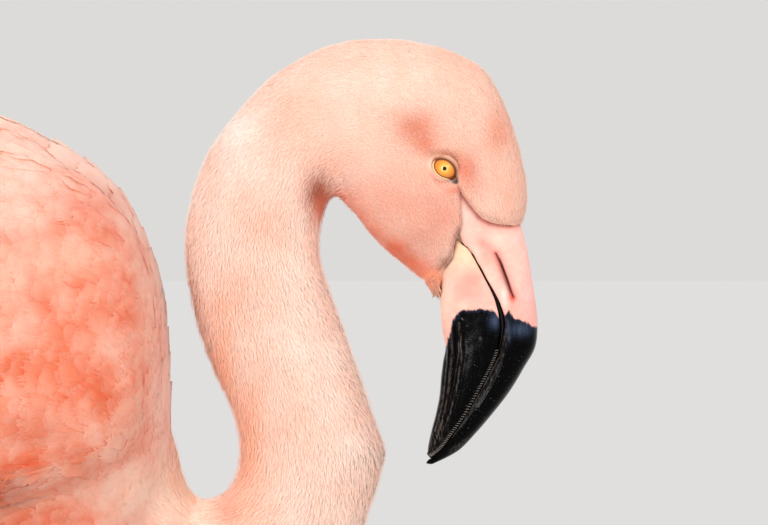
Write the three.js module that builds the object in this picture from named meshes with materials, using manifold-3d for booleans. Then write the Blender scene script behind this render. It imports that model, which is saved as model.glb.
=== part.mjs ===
// A Chilean flamingo, life size, standing still with its neck drawn back in an S and its bill hanging down.
// Millimetres. +X is the way the bird faces, +Y is its left, +Z is up.
// The floor is z = 0, and the origin is on it under the middle of the bird's length.

import * as THREE from "three";
import { mergeVertices } from "three/addons/utils/BufferGeometryUtils.js";
import Module from "manifold-3d";

const wasm = await Module();
wasm.setup();

const gap = 0.3; // clearance between neighbouring pieces

// Head and neck, as sections from the breast to the base of the bill.
// Each is [back x, back z, throat x, throat z, half width]: a section's two ends in the bird's middle plane,
// and how far it reaches to either side.
const neckSections = [
  [96, 520, 66, 399, 34],
  [134.5, 493, 100, 392, 34],
  [141, 470.5, 132, 390, 33],
  [150.5, 461.5, 168, 395, 31],
  [161.5, 467, 210.5, 418, 29],
  [166, 478, 234.5, 478, 28],
  [166, 491, 231, 496, 27.5],
  [162, 505, 221, 526, 27],
  [151, 528.5, 213, 549, 26.5],
  [144, 553, 205.5, 569.5, 26],
  [140.5, 579, 204, 582.5, 25.5],
  [143.5, 601, 206, 594, 25],
  [151, 622, 208, 599.5, 24],
  [163, 639, 209.5, 602, 23.5],
  [178.5, 656, 210.5, 603.5, 23.5],
  [195, 667.5, 211.5, 604, 23.5],
  [213.5, 675, 213.5, 602.5, 24],
  [232, 676.5, 219, 596, 24.5],
  [250.5, 675, 225.5, 586.5, 25],
  [269, 669.5, 234, 578, 24.5],
  [282.5, 661, 242.5, 570.5, 23],
  [291, 644, 249.5, 565, 20.5],
  [296, 624, 255, 561, 18.5],
  [299, 605.5, 258.5, 556.5, 17],
  [298.5, 594.5, 260, 553, 16],
];
const neckLowerEnd = 8; // section where each length of the neck ends
const neckMiddleEnd = 11.5;
const neckUpperEnd = 16.6;
const headEnd = neckSections.length - 1;
const cheekFullness = 0.16; // how much fuller the lower half of a head section is than its crown

// Bill, as sections from its base to its tip.
// Each is [culmen x, z, gape x, z, keel x, z, half width].
const billSections = [
  [297, 592, 270, 581, 259.5, 566, 13.5],
  [300.5, 578, 274, 577, 260, 557, 14.5],
  [302.7, 564, 281, 564.5, 260.4, 547.5, 14.7],
  [304.6, 552, 286.5, 553.5, 261.3, 539.5, 14.8],
  [305.3, 541.5, 288.8, 543, 262.5, 532.5, 14.8],
  [304, 532, 287, 531.2, 261.3, 525.7, 14.5],
  [299, 523, 282.7, 521.5, 260.4, 518.2, 13.8],
  [292.5, 512.2, 277.6, 511.7, 259.7, 510.3, 12.8],
  [285, 502.4, 271.6, 501, 258.1, 502, 11.5],
  [276.7, 492.7, 265.5, 492.2, 256, 494, 9.8],
  [268.3, 484.3, 260.6, 485.6, 254.6, 487.5, 7.2],
  [257, 478.6, 256.3, 481.6, 254.2, 483.6, 3.6],
];

const eye = { x: 261.6, y: 19.4, z: 615.4, radius: 6.6 };

// Trunk, as upright sections from the breast to the rump: [x, top z, bottom z, half width].
const trunkSections = [
  [134.5, 528, 488, 20],
  [131, 560, 462, 42],
  [124, 583, 440, 55],
  [112, 606, 420, 65],
  [92, 623, 405, 72],
  [55, 643, 396, 78],
  [10, 650, 396, 82],
  [-40, 647, 404, 82],
  [-90, 636, 418, 77],
  [-140, 618, 438, 66],
  [-185, 596, 465, 50],
  [-220, 577, 490, 34],
  [-245, 562, 512, 20],
];

const squareness = 0.9; // below 1 makes a trunk section a little squarer than an oval

// Folded wing, as upright ovals from the bend to the tip:
// [x, centre z, half height, centre y, half thickness].
const wingSections = [
  [132.5, 536, 20, 36, 12],
  [124, 538, 47, 47, 24],
  [104, 542, 69, 54, 33],
  [62, 546, 87, 58, 37],
  [10, 547, 97, 60, 38],
  [-50, 545, 93, 57, 37],
  [-110, 541, 79, 49, 34],
  [-160, 539, 61, 39, 29],
  [-210, 539, 43, 29, 21],
  [-250, 539, 28, 20.5, 13.5],
  [-285, 538, 15, 14, 8],
  [-300, 537, 5, 11, 4],
];
const wingLean = 16; // degrees that the wing's upper edge leans in over the back

// Bundle of black flight feathers under the wing's rear edge, in the same way.
const flightSections = [
  [-120, 482, 12, 44, 10],
  [-170, 500, 14, 34, 9],
  [-220, 515, 13, 24, 8],
  [-265, 523, 10, 16, 6],
  [-293, 527, 5, 10, 3.5],
  [-305, 528, 2, 9, 1.5],
];

// Tail: [x, centre z, half thickness, half width].
const tailSections = [
  [-195, 528, 20, 34],
  [-225, 520, 15, 34],
  [-260, 512, 8, 31],
  [-285, 507, 4.5, 26],
  [-298, 505, 2, 15],
];

// Legs. Offsets along x are for the hip, thigh end, ankle and heel of a leg that stands square.
const leg = {
  side: 34, // distance of a leg from the middle plane at the ankle
  thighTop: 455,
  thighEnd: 362,
  ankleTop: 271,
  ankleBottom: 235,
  footTop: 15,
  hipX: -2,
  thighEndX: -16,
  ankleX: -34,
  heelX: -26,
  stride: 20, // how far the right foot stands ahead of the left
};
const toes = [
  { name: "inner", length: 66, spread: 27 },
  { name: "middle", length: 80, spread: 0 },
  { name: "outer", length: 72, spread: -29 },
];
const webThickness = 2.2;
const webReach = 0.86; // share of each toe's length that the web reaches
const claw = { length: 7.5, radius: 2.6 };
const toeSize = { halfWidth: 4.1, height: 8.2 }; // at the root
const hindToe = { name: "hind", length: 15, spread: 176 };
const hindToeSize = { halfWidth: 2.6, height: 5 };

// How finely each piece is faceted: [rings along it, sides round it].
const facets = {
  trunk: [20, 22],
  wing: [16, 14],
  neckLower: [18, 18],
  neckMiddle: [6, 18],
  neckUpper: [11, 18],
  head: [16, 22],
  tail: [6, 14],
  flight: [8, 8],
  mandible: [17, 12],
  thigh: [8, 14],
  shank: [4, 10],
  tarsus: [6, 10],
  footRoot: [3, 10],
  toe: [6, 6],
  web: 6,
  claw: [3, 6],
  eye: [7, 12],
};

// ---- shape helpers

const toRadians = THREE.MathUtils.degToRad;

function solidOf(geometry) {
  geometry.deleteAttribute("normal");
  geometry.deleteAttribute("uv");
  const welded = mergeVertices(geometry, 1e-3);
  return new wasm.Manifold(
    new wasm.Mesh({
      numProp: 3,
      vertProperties: welded.attributes.position.array,
      triVerts: new Uint32Array(welded.index.array),
    }),
  );
}

// Only the largest body is kept, so that a cut leaves no crumbs.
function geometryOf(solid) {
  const bodies = solid.decompose();
  bodies.sort((a, b) => b.volume() - a.volume());
  const mesh = bodies[0].getMesh();
  const geometry = new THREE.BufferGeometry();
  geometry.setAttribute("position", new THREE.BufferAttribute(mesh.vertProperties, 3));
  geometry.setIndex(new THREE.BufferAttribute(mesh.triVerts, 1));
  const faceted = geometry.toNonIndexed();
  faceted.computeVertexNormals();
  return faceted;
}

// A closed skin through rings of points, [rings, sides] fine. place(t, angle, radius, point) sets the point
// at t from 0 to 1 along the loft; radius is 1 on the skin and 0 in the middle of an end cap.
function loft([rings, sides], place) {
  const geometry = new THREE.CylinderGeometry(1, 1, 1, sides, rings);
  const position = geometry.attributes.position;
  const point = new THREE.Vector3();
  for (let i = 0; i < position.count; i++) {
    const t = 0.5 - position.getY(i);
    const angle = Math.atan2(position.getX(i), position.getZ(i));
    const radius = Math.hypot(position.getX(i), position.getZ(i));
    place(t, angle, radius, point);
    position.setXYZ(i, point.x, point.y, point.z);
  }
  return geometry;
}

// The rows of a table as smooth functions of a running section number.
function smoothTable(rows) {
  const curveOf = (column) => {
    const points = rows.map((row, i) => new THREE.Vector3(i, row[column], 0));
    return new THREE.CatmullRomCurve3(points, false, "catmullrom", 0.5);
  };
  const columns = rows[0].map((_, column) => curveOf(column));
  return (section) => columns.map((curve) => curve.getPoint(section / (rows.length - 1)).y);
}

function mirrored(solid) {
  return solid.mirror([0, 1, 0]);
}

// ---- neck and head

const neckAt = smoothTable(neckSections);

// The part of the neck and head between two sections, with its end faces drawn back by inset.
// grow swells it all round, for a cutter.
function neckLength(from, to, facet, { inset = gap / 2, grow = 0 } = {}) {
  return loft(facet, (t, angle, radius, point) => {
    const section = from + (to - from) * t;
    const [backX, backZ, throatX, throatZ, halfWidth] = neckAt(section);
    const depth = Math.hypot(backX - throatX, backZ - throatZ);
    const out = [(backX - throatX) / depth, (backZ - throatZ) / depth];
    const onward = [out[1], -out[0]];
    const cheek = cheekFullness * THREE.MathUtils.smoothstep(section, neckUpperEnd - 0.6, neckUpperEnd + 2.4);
    const across = Math.sin(angle) * (1 - cheek * Math.cos(angle)) * (halfWidth + grow) * radius;
    const up = Math.cos(angle) * (depth / 2 + grow) * radius;
    const end = t < 1e-6 ? inset : t > 1 - 1e-6 ? -inset : 0;
    point.set(
      (backX + throatX) / 2 + out[0] * up + onward[0] * end,
      across,
      (backZ + throatZ) / 2 + out[1] * up + onward[1] * end,
    );
  });
}

// ---- trunk, wings, flight feathers and tail: lofts along x

const trunkAt = smoothTable(trunkSections);
function trunkLoft(grow, facet) {
  return loft(facet, (t, angle, radius, point) => {
    const [x, top, bottom, halfWidth] = trunkAt(t * (trunkSections.length - 1));
    const across = -Math.sign(Math.sin(angle)) * Math.abs(Math.sin(angle)) ** squareness;
    const up = Math.sign(Math.cos(angle)) * Math.abs(Math.cos(angle)) ** squareness;
    const end = t < 1e-6 ? grow : t > 1 - 1e-6 ? -grow : 0;
    point.set(
      x + end,
      across * (halfWidth + grow) * radius,
      (top + bottom) / 2 + up * ((top - bottom) / 2 + grow) * radius,
    );
  });
}

function ovalLoft(sections, lean, grow, facet) {
  const at = smoothTable(sections);
  const cos = Math.cos(toRadians(lean));
  const sin = Math.sin(toRadians(lean));
  return loft(facet, (t, angle, radius, point) => {
    const [x, centreZ, halfHeight, centreY, halfThickness] = at(t * (sections.length - 1));
    const across = -Math.sin(angle) * (halfThickness + grow) * radius;
    const up = Math.cos(angle) * (halfHeight + grow) * radius;
    const end = t < 1e-6 ? grow : t > 1 - 1e-6 ? -grow : 0;
    point.set(x + end, centreY + across * cos - up * sin, centreZ + across * sin + up * cos);
  });
}

function tailLoft(grow, facet) {
  const at = smoothTable(tailSections);
  return loft(facet, (t, angle, radius, point) => {
    const [x, centreZ, halfThickness, halfWidth] = at(t * (tailSections.length - 1));
    const end = t < 1e-6 ? grow : t > 1 - 1e-6 ? -grow : 0;
    point.set(
      x + end,
      -Math.sin(angle) * (halfWidth + grow) * radius,
      centreZ + Math.cos(angle) * (halfThickness + grow) * radius,
    );
  });
}

const trunk = solidOf(trunkLoft(0, facets.trunk));
const trunkCutter = solidOf(trunkLoft(gap, facets.trunk));
const wing = solidOf(ovalLoft(wingSections, wingLean, 0, facets.wing)).subtract(trunkCutter);
const wingCutter = solidOf(ovalLoft(wingSections, wingLean, gap, facets.wing));
const bothWingCutters = wingCutter.add(mirrored(wingCutter));

const neckLower = solidOf(neckLength(0, neckLowerEnd, facets.neckLower))
  .subtract(trunkCutter)
  .subtract(bothWingCutters);
const neckMiddle = solidOf(neckLength(neckLowerEnd, neckMiddleEnd, facets.neckMiddle));
const neckUpper = solidOf(neckLength(neckMiddleEnd, neckUpperEnd, facets.neckUpper));
const headWhole = solidOf(neckLength(neckUpperEnd, headEnd, facets.head));
const headCutter = solidOf(neckLength(neckUpperEnd, headEnd, facets.head, { inset: -gap, grow: gap }));

const tailCutter = solidOf(tailLoft(gap, facets.tail));
const tail = solidOf(tailLoft(0, facets.tail)).subtract(trunkCutter).subtract(bothWingCutters);
const flight = solidOf(ovalLoft(flightSections, 0, 0, facets.flight))
  .subtract(trunkCutter)
  .subtract(wingCutter)
  .subtract(tailCutter);

// ---- eyes

function eyeBall(radius, side) {
  const ball = new THREE.SphereGeometry(radius, facets.eye[1], facets.eye[0]);
  ball.translate(eye.x, side * eye.y, eye.z);
  return solidOf(ball);
}
const head = headWhole.subtract(eyeBall(eye.radius + gap, 1)).subtract(eyeBall(eye.radius + gap, -1));

// ---- bill

const billAt = smoothTable(billSections);

const capMiddle = 0.4; // how far up its arch the middle of a mandible's end face lies

// One mandible: an arch from the gape line out to the culmen or the keel, with a flat face at the gape.
function mandible(upper) {
  return loft(facets.mandible, (t, angle, radius, point) => {
    const [culmenX, culmenZ, gapeX, gapeZ, keelX, keelZ, halfWidth] = billAt(t * (billSections.length - 1));
    const edge = upper ? [culmenX - gapeX, culmenZ - gapeZ] : [keelX - gapeX, keelZ - gapeZ];
    const height = Math.hypot(...edge);
    const out = [edge[0] / height, edge[1] / height];
    const across = Math.sin(angle) * halfWidth * radius;
    const arch = Math.max(Math.cos(angle), 0) * radius + (1 - radius) * capMiddle;
    const away = gap / 2 + arch * (height - gap / 2);
    const turn = upper ? 1 : -1;
    point.set(gapeX + out[0] * away, across * turn, gapeZ + out[1] * away);
  });
}
const billUpper = solidOf(mandible(true)).subtract(headCutter);
const billLower = solidOf(mandible(false)).subtract(headCutter);

// ---- legs

// A limb through [x, y, z, half depth along x, half width along y] rows, from its top to its bottom.
function limb(rows, facet) {
  const at = smoothTable(rows);
  return loft(facet, (t, angle, radius, point) => {
    const [x, y, z, halfDepth, halfWidth] = at(t * (rows.length - 1));
    point.set(x + Math.cos(angle) * halfDepth * radius, y + Math.sin(angle) * halfWidth * radius, z);
  });
}

// What is below the floor is cut off, so that the sole is one flat.
function aboveFloor(solid) {
  return solid.trimByPlane([0, 0, 1], 0);
}

// A toe with knuckles, from inside the foot's root out to its claw.
function toeLoft({ length, spread }, { halfWidth, height }) {
  const direction = [Math.cos(toRadians(spread)), Math.sin(toRadians(spread))];
  return loft(facets.toe, (t, angle, radius, point) => {
    const knuckles = 1 + 0.1 * Math.cos(t * Math.PI * 6);
    const taper = 1 - 0.42 * t;
    const across = Math.sin(angle) * halfWidth * taper * knuckles * radius;
    const tall = height * taper * knuckles;
    const up = tall * 0.36 + Math.cos(angle) * tall * 0.64 * radius;
    const along = -3 + (length + 3) * t;
    point.set(direction[0] * along - direction[1] * across, direction[1] * along + direction[0] * across, up);
  });
}

// The web between the front toes, with a hollow margin from each toe to the next.
function webSolid() {
  const tipOf = (toe) => {
    const tip = new THREE.Vector2(toe.length * webReach, 0);
    return tip.rotateAround(new THREE.Vector2(0, 0), toRadians(toe.spread));
  };
  const outline = new THREE.Shape();
  outline.moveTo(-4, 0);
  outline.lineTo(tipOf(toes[2]).x, tipOf(toes[2]).y);
  for (const i of [1, 0]) {
    const start = tipOf(toes[i + 1]);
    const end = tipOf(toes[i]);
    const hollow = start.clone().add(end).multiplyScalar(0.5 * 0.82);
    outline.quadraticCurveTo(hollow.x, hollow.y, end.x, end.y);
  }
  outline.closePath();
  const thickness = { depth: webThickness, bevelEnabled: false, curveSegments: facets.web };
  return solidOf(new THREE.ExtrudeGeometry(outline, thickness));
}

function footSolid() {
  const root = limb(
    [
      [0, 0, leg.footTop, 5.4, 4.6],
      [0.5, 0, 9, 6.4, 5.6],
      [2, 0, 3, 8.5, 7],
      [2.5, 0, -1, 8.5, 7],
    ],
    facets.footRoot,
  );
  let foot = solidOf(root).add(webSolid());
  for (const toe of toes) {
    foot = foot.add(solidOf(toeLoft(toe, toeSize)));
  }
  foot = foot.add(solidOf(toeLoft(hindToe, hindToeSize)));
  return aboveFloor(foot);
}

function clawSolid(toe) {
  const direction = [Math.cos(toRadians(toe.spread)), Math.sin(toRadians(toe.spread))];
  const horn = loft(facets.claw, (t, angle, radius, point) => {
    const thick = claw.radius * (1 - 0.85 * t * t);
    const along = toe.length + gap + claw.length * t;
    const across = Math.sin(angle) * thick * 0.75 * radius;
    const up = thick * 0.55 + Math.cos(angle) * thick * 0.85 * radius;
    point.set(direction[0] * along - direction[1] * across, direction[1] * along + direction[0] * across, up);
  });
  return aboveFloor(solidOf(horn));
}

const foot = footSolid();

// The pieces of one leg. side is 1 on the bird's left and -1 on its right.
function legPieces(side) {
  const ahead = -side * (leg.stride / 2);
  const y = side * leg.side;
  const ankleX = leg.ankleX + ahead * 0.6;
  const heelX = leg.heelX + ahead;
  const thighEndX = leg.thighEndX + ahead * 0.3;
  const thigh = limb(
    [
      [leg.hipX, y * 1.1, leg.thighTop, 36, 22],
      [leg.hipX - 2, y * 1.08, 425, 33, 20],
      [leg.hipX - 7, y * 1.04, 396, 22, 15],
      [(leg.hipX + thighEndX) / 2 - 6, y, 376, 12.5, 10],
      [thighEndX, y, leg.thighEnd, 7.4, 6.8],
    ],
    facets.thigh,
  );
  const shank = limb(
    [
      [thighEndX, y, leg.thighEnd - gap, 6, 5.2],
      [(thighEndX + ankleX) / 2, y, (leg.thighEnd + leg.ankleTop) / 2, 5.6, 4.8],
      [ankleX, y, leg.ankleTop, 7.4, 6.4],
    ],
    facets.shank,
  );
  const ankle = limb(
    [
      [ankleX, y, leg.ankleTop - gap, 7.6, 6.6],
      [ankleX - 0.5, y, leg.ankleTop - 11, 10.4, 8.6],
      [ankleX - 1, y, leg.ankleBottom + 13, 10.6, 8.8],
      [ankleX, y, leg.ankleBottom + gap, 6.6, 6],
    ],
    facets.tarsus,
  );
  const tarsus = limb(
    [
      [ankleX, y, leg.ankleBottom, 6.4, 5.8],
      [ankleX * 0.7 + heelX * 0.3, y, 190, 5.2, 4.4],
      [ankleX * 0.3 + heelX * 0.7, y, 70, 4.8, 4.1],
      [heelX, y, leg.footTop + gap, 5.4, 4.6],
    ],
    facets.tarsus,
  );
  // The bird's own left foot is the mirror image of its right one, inner toe towards the middle.
  const placed = (solid) => (side > 0 ? mirrored(solid) : solid).translate([heelX, y, 0]);
  const pieces = {
    thigh: solidOf(thigh).subtract(trunkCutter).subtract(side > 0 ? wingCutter : mirrored(wingCutter)),
    shank: solidOf(shank),
    ankle: solidOf(ankle),
    tarsus: solidOf(tarsus),
    foot: placed(foot),
  };
  for (const toe of [...toes, hindToe]) {
    pieces["claw_" + toe.name] = placed(clawSolid(toe));
  }
  return pieces;
}

// ---- materials and nodes

const finishes = {
  plumage: { color: 0xf6b49a, roughness: 0.9, metalness: 0 },
  wingPlumage: { color: 0xf09a7c, roughness: 0.85, metalness: 0 },
  flightFeathers: { color: 0x17151a, roughness: 0.6, metalness: 0 },
  billUpper: { color: 0xf3c8bd, roughness: 0.4, metalness: 0 },
  billLower: { color: 0x15151a, roughness: 0.3, metalness: 0 },
  iris: { color: 0xe8ae3c, roughness: 0.1, metalness: 0 },
  legSkin: { color: 0xb9a8a2, roughness: 0.6, metalness: 0 },
  jointSkin: { color: 0xc8586a, roughness: 0.6, metalness: 0 },
  clawHorn: { color: 0x2a2426, roughness: 0.4, metalness: 0 },
};
const materials = {};
for (const [name, finish] of Object.entries(finishes)) {
  materials[name] = new THREE.MeshStandardMaterial({ name, ...finish });
}

const flamingo = new THREE.Group();
function addNode(name, solid, finish) {
  const node = new THREE.Mesh(geometryOf(solid), materials[finish]);
  node.name = name;
  flamingo.add(node);
}

addNode("trunk", trunk, "plumage");
addNode("neck_lower", neckLower, "plumage");
addNode("neck_middle", neckMiddle, "plumage");
addNode("neck_upper", neckUpper, "plumage");
addNode("head", head, "plumage");
addNode("bill_upper", billUpper, "billUpper");
addNode("bill_lower", billLower, "billLower");
addNode("tail", tail, "plumage");
const legFinishes = {
  thigh: "plumage",
  shank: "legSkin",
  ankle: "jointSkin",
  tarsus: "legSkin",
  foot: "jointSkin",
};
for (const [sideName, side] of [["left", 1], ["right", -1]]) {
  addNode("eye_" + sideName, eyeBall(eye.radius, side), "iris");
  addNode("wing_" + sideName, side > 0 ? wing : mirrored(wing), "wingPlumage");
  addNode("flight_" + sideName, side > 0 ? flight : mirrored(flight), "flightFeathers");
  for (const [name, solid] of Object.entries(legPieces(side))) {
    addNode(name + "_" + sideName, solid, legFinishes[name] ?? "clawHorn");
  }
}

export default flamingo;
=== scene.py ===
# A Chilean flamingo, life size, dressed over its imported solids.
# Metres, +X the way the bird faces, +Y its left, +Z up. Sizes in the dictionaries are in millimetres.

import math

import bmesh
import bpy
import numpy as np
from mathutils.bvhtree import BVHTree
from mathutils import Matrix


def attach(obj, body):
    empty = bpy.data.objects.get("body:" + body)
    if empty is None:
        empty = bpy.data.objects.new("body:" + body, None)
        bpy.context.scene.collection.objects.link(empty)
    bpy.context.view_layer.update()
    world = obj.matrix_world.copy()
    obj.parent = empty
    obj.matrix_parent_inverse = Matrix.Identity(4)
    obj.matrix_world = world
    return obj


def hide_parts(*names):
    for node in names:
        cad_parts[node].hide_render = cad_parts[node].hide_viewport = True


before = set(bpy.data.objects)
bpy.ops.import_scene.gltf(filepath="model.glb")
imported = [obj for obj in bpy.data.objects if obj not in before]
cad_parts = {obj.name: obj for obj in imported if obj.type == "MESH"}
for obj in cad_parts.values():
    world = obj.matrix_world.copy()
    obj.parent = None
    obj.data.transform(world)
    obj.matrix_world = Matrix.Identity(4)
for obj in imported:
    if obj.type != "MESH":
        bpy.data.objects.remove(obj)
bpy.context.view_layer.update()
mm = 0.001
scene = bpy.context.scene
scene.view_settings.view_transform = "Standard"


# small tools

def colour(code):
    # sRGB hex to the linear values that the shaders take
    parts = np.array([int(code[i:i + 2], 16) / 255 for i in (0, 2, 4)])
    return np.where(parts <= 0.04045, parts / 12.92, ((parts + 0.055) / 1.055) ** 2.4)


def smoothStep(low, high, x):
    t = np.clip((np.asarray(x, float) - low) / (high - low), 0, 1)
    return t * t * (3 - 2 * t)


def blend(a, b, share):
    return a + (b - a) * share


def washed(tone, over, amount):
    # a second tone laid over the first, by an amount for each point
    return blend(tone, over, amount[:, None])


def coloursOf(codes):
    return {key: colour(code) for key, code in codes.items()}


def sideView(points):
    # x and z in mm of points in metres
    return points[:, 0] / mm, points[:, 2] / mm


def fade(away, reach):
    # 1 where away is 0, fading out over reach to both sides
    return np.exp(-(away / reach) ** 2)


def around(x, z, place, reach):
    # 1 at a place in the side view, fading out over a reach along x and one along z
    return np.exp(-((x - place[0]) / reach[0]) ** 2 - ((z - place[1]) / reach[1]) ** 2)


def unit(v):
    return v / np.maximum(np.linalg.norm(v, axis=-1, keepdims=True), 1e-12)


def curveThrough(rows):
    # a smooth curve through the rows of a table, read by row number
    rows = np.asarray(rows, float)
    rows = np.vstack([2 * rows[0] - rows[1], rows, 2 * rows[-1] - rows[-2]])

    def at(row):
        row = np.clip(np.asarray(row, float), 0, len(rows) - 3)
        i = np.minimum(row.astype(int), len(rows) - 4)
        f = (row - i)[..., None]
        p0, p1, p2, p3 = rows[i], rows[i + 1], rows[i + 2], rows[i + 3]
        return p1 + 0.5 * f * (p2 - p0 + f * (2 * p0 - 5 * p1 + 4 * p2 - p3 + f * (3 * (p1 - p2) + p3 - p0)))
    return at


def waves(points, scale, seed):
    # smooth random field from -1 to 1, the same on every run; scale is the size of its lumps in metres
    rng = np.random.default_rng(seed)
    total = np.zeros(len(points))
    for octave in range(2):
        for _ in range(5):
            direction = unit(rng.normal(size=3))
            pitch = 2 * math.pi / scale * (1.7 ** octave) * rng.uniform(0.7, 1.4)
            total += np.sin(points @ direction * pitch + rng.uniform(0, 6.28)) * 0.6 ** octave
    return np.clip(total / 3.2, -1, 1)


def nearLine(x, z, line):
    # distance in the side view to a line of (x, z) points, and how far along it from 0 to 1; all in mm
    line = np.asarray(line, float)
    best, share = np.full(len(x), 1e9), np.zeros(len(x))
    lengths = np.linalg.norm(np.diff(line, axis=0), axis=1)
    start = 0.0
    for a, b, length in zip(line[:-1], line[1:], lengths):
        reachX, reachZ = b - a
        t = np.clip(((x - a[0]) * reachX + (z - a[1]) * reachZ) / length ** 2, 0, 1)
        d = np.hypot(x - a[0] - t * reachX, z - a[1] - t * reachZ)
        closer = d < best
        best = np.where(closer, d, best)
        share = np.where(closer, (start + t * length) / lengths.sum(), share)
        start += length
    return best, share


def insideLine(x, z, outline):
    # signed distance in mm to a closed outline in the side view, positive inside
    outline = np.asarray(outline, float)
    distance, _ = nearLine(x, z, np.vstack([outline, outline[:1]]))
    inside = np.zeros(len(x), bool)
    for a, b in zip(outline, np.roll(outline, -1, axis=0)):
        crosses = (a[1] > z) != (b[1] > z)
        at = a[0] + (z - a[1]) / (b[1] - a[1] + 1e-12) * (b[0] - a[0])
        inside ^= crosses & (x < at)
    return np.where(inside, distance, -distance)


def makePiece(name, points, faces, material, tone=None, maps=None, smooth=True, normals=None):
    # a mesh object from arrays; maps are UV maps with a row for each face corner
    mesh = bpy.data.meshes.new(name)
    faces = np.asarray(faces)
    mesh.vertices.add(len(points))
    mesh.vertices.foreach_set("co", np.asarray(points, np.float32).ravel())
    mesh.loops.add(faces.size)
    mesh.loops.foreach_set("vertex_index", faces.astype(np.int32).ravel())
    mesh.polygons.add(len(faces))
    mesh.polygons.foreach_set("loop_start", np.arange(0, faces.size, faces.shape[1], dtype=np.int32))
    mesh.polygons.foreach_set("use_smooth", np.full(len(faces), smooth))
    mesh.update(calc_edges=True)
    for label, uv in (maps or {}).items():
        layer = mesh.uv_layers.new(name=label)
        layer.data.foreach_set("uv", np.asarray(uv, np.float32).ravel())
    if tone is not None:
        paint(mesh, tone)
    if normals is not None:
        mesh.normals_split_custom_set_from_vertices(unit(normals).astype(np.float32))
    mesh.materials.append(material)
    piece = bpy.data.objects.new(name, mesh)
    scene.collection.objects.link(piece)
    return piece


def ringGrid(rows, sides, close):
    # faces over a grid of rings; close joins the first ring to one middle point, which comes last
    index = np.arange(rows * sides).reshape(rows, sides)
    a, b = index[:-1], index[1:]
    quads = np.stack([a, np.roll(a, -1, axis=1), np.roll(b, -1, axis=1), b], axis=2).reshape(-1, 4)
    faces = np.vstack([quads[:, [0, 1, 2]], quads[:, [0, 2, 3]]])
    if close:
        hub = rows * sides
        faces = np.vstack([faces, [(hub, index[0][(i + 1) % sides], index[0][i]) for i in range(sides)]])
    return faces


def paint(mesh, tone):
    layer = mesh.color_attributes.new("tone", "FLOAT_COLOR", "POINT")
    rgba = np.ones((len(mesh.vertices), 4), np.float32)
    rgba[:, :3] = np.clip(tone, 0, 1)
    layer.data.foreach_set("color", rgba.ravel())


def readMesh(mesh):
    count = len(mesh.vertices)
    points, normals = np.zeros(count * 3, np.float32), np.zeros(count * 3, np.float32)
    mesh.vertices.foreach_get("co", points)
    mesh.vertex_normals.foreach_get("vector", normals)
    mesh.calc_loop_triangles()
    triangles = np.zeros(len(mesh.loop_triangles) * 3, np.int32)
    mesh.loop_triangles.foreach_get("vertices", triangles)
    return points.reshape(-1, 3).astype(float), normals.reshape(-1, 3).astype(float), triangles.reshape(-1, 3)


def setPoints(mesh, points):
    mesh.vertices.foreach_set("co", np.asarray(points, np.float32).ravel())
    mesh.update()


def finishShell(piece, tone, material):
    paint(piece.data, tone)
    piece.data.materials.append(material)
    piece.data.polygons.foreach_set("use_smooth", np.full(len(piece.data.polygons), True))


# materials

def newMaterial(name, **values):
    material = bpy.data.materials.new(name)
    material.use_nodes = True
    shader = material.node_tree.nodes["Principled BSDF"]
    for socket, value in values.items():
        shader.inputs[socket.replace("_", " ")].default_value = value
    return material, material.node_tree, shader


def addNode(tree, kind, **settings):
    node = tree.nodes.new(kind)
    for key, value in settings.items():
        if key in node.inputs:
            node.inputs[key].default_value = value
        else:
            setattr(node, key, value)
    return node


def noiseOf(tree, scale, detail=3.0, rough=0.5, stretch=(1, 1, 1)):
    # noise in the bird's own space; scale is lumps for each metre
    place = addNode(tree, "ShaderNodeTexCoord")
    mapping = addNode(tree, "ShaderNodeMapping", Scale=stretch)
    noise = addNode(tree, "ShaderNodeTexNoise", Scale=scale, Detail=detail, Roughness=rough)
    tree.links.new(place.outputs["Object"], mapping.inputs["Vector"])
    tree.links.new(mapping.outputs["Vector"], noise.inputs["Vector"])
    return noise.outputs["Fac"]


def rampOf(tree, value, stops):
    ramp = addNode(tree, "ShaderNodeValToRGB")
    while len(ramp.color_ramp.elements) < len(stops):
        ramp.color_ramp.elements.new(0.5)
    for element, (position, tone) in zip(ramp.color_ramp.elements, stops):
        element.position = position
        element.color = (*tone, 1) if len(tone) == 3 else tone
    tree.links.new(value, ramp.inputs["Fac"])
    return ramp.outputs["Color"]


def mixOf(tree, kind, share, a, b):
    mix = addNode(tree, "ShaderNodeMix", data_type="RGBA", blend_type=kind)
    for socket, value in ((mix.inputs[0], share), (mix.inputs[6], a), (mix.inputs[7], b)):
        if isinstance(value, bpy.types.NodeSocket):
            tree.links.new(value, socket)
        elif isinstance(value, (int, float)):
            socket.default_value = value
        else:
            socket.default_value = (*value, 1)
    return mix.outputs[2]


def bumpOf(tree, shader, height, strength, depth):
    bump = addNode(tree, "ShaderNodeBump", Strength=strength, Distance=depth * mm)
    tree.links.new(height, bump.inputs["Height"])
    tree.links.new(bump.outputs["Normal"], shader.inputs["Normal"])


def grey(level):
    return (level, level, level)


def paintedTone(tree):
    return addNode(tree, "ShaderNodeAttribute", attribute_name="tone").outputs["Color"]


def multiplied(tree, a, b):
    return mixOf(tree, "MULTIPLY", 1.0, a, b)


def darkened(tree, tone, value, low, high, dark):
    # the tone times a grey that goes from dark where value is low to 1 where it is high
    return multiplied(tree, tone, rampOf(tree, value, [(low, grey(dark)), (high, grey(1.0))]))


plumageFinish = {  # speckle and mottle are lumps for each metre, glow is the share of light let through
    "roughness": 0.8, "speckle": 900, "speckleDepth": 0.08, "mottle": 70, "mottleDepth": 0.08,
    "glow": 0.35, "ribs": 0.95,
}


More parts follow.
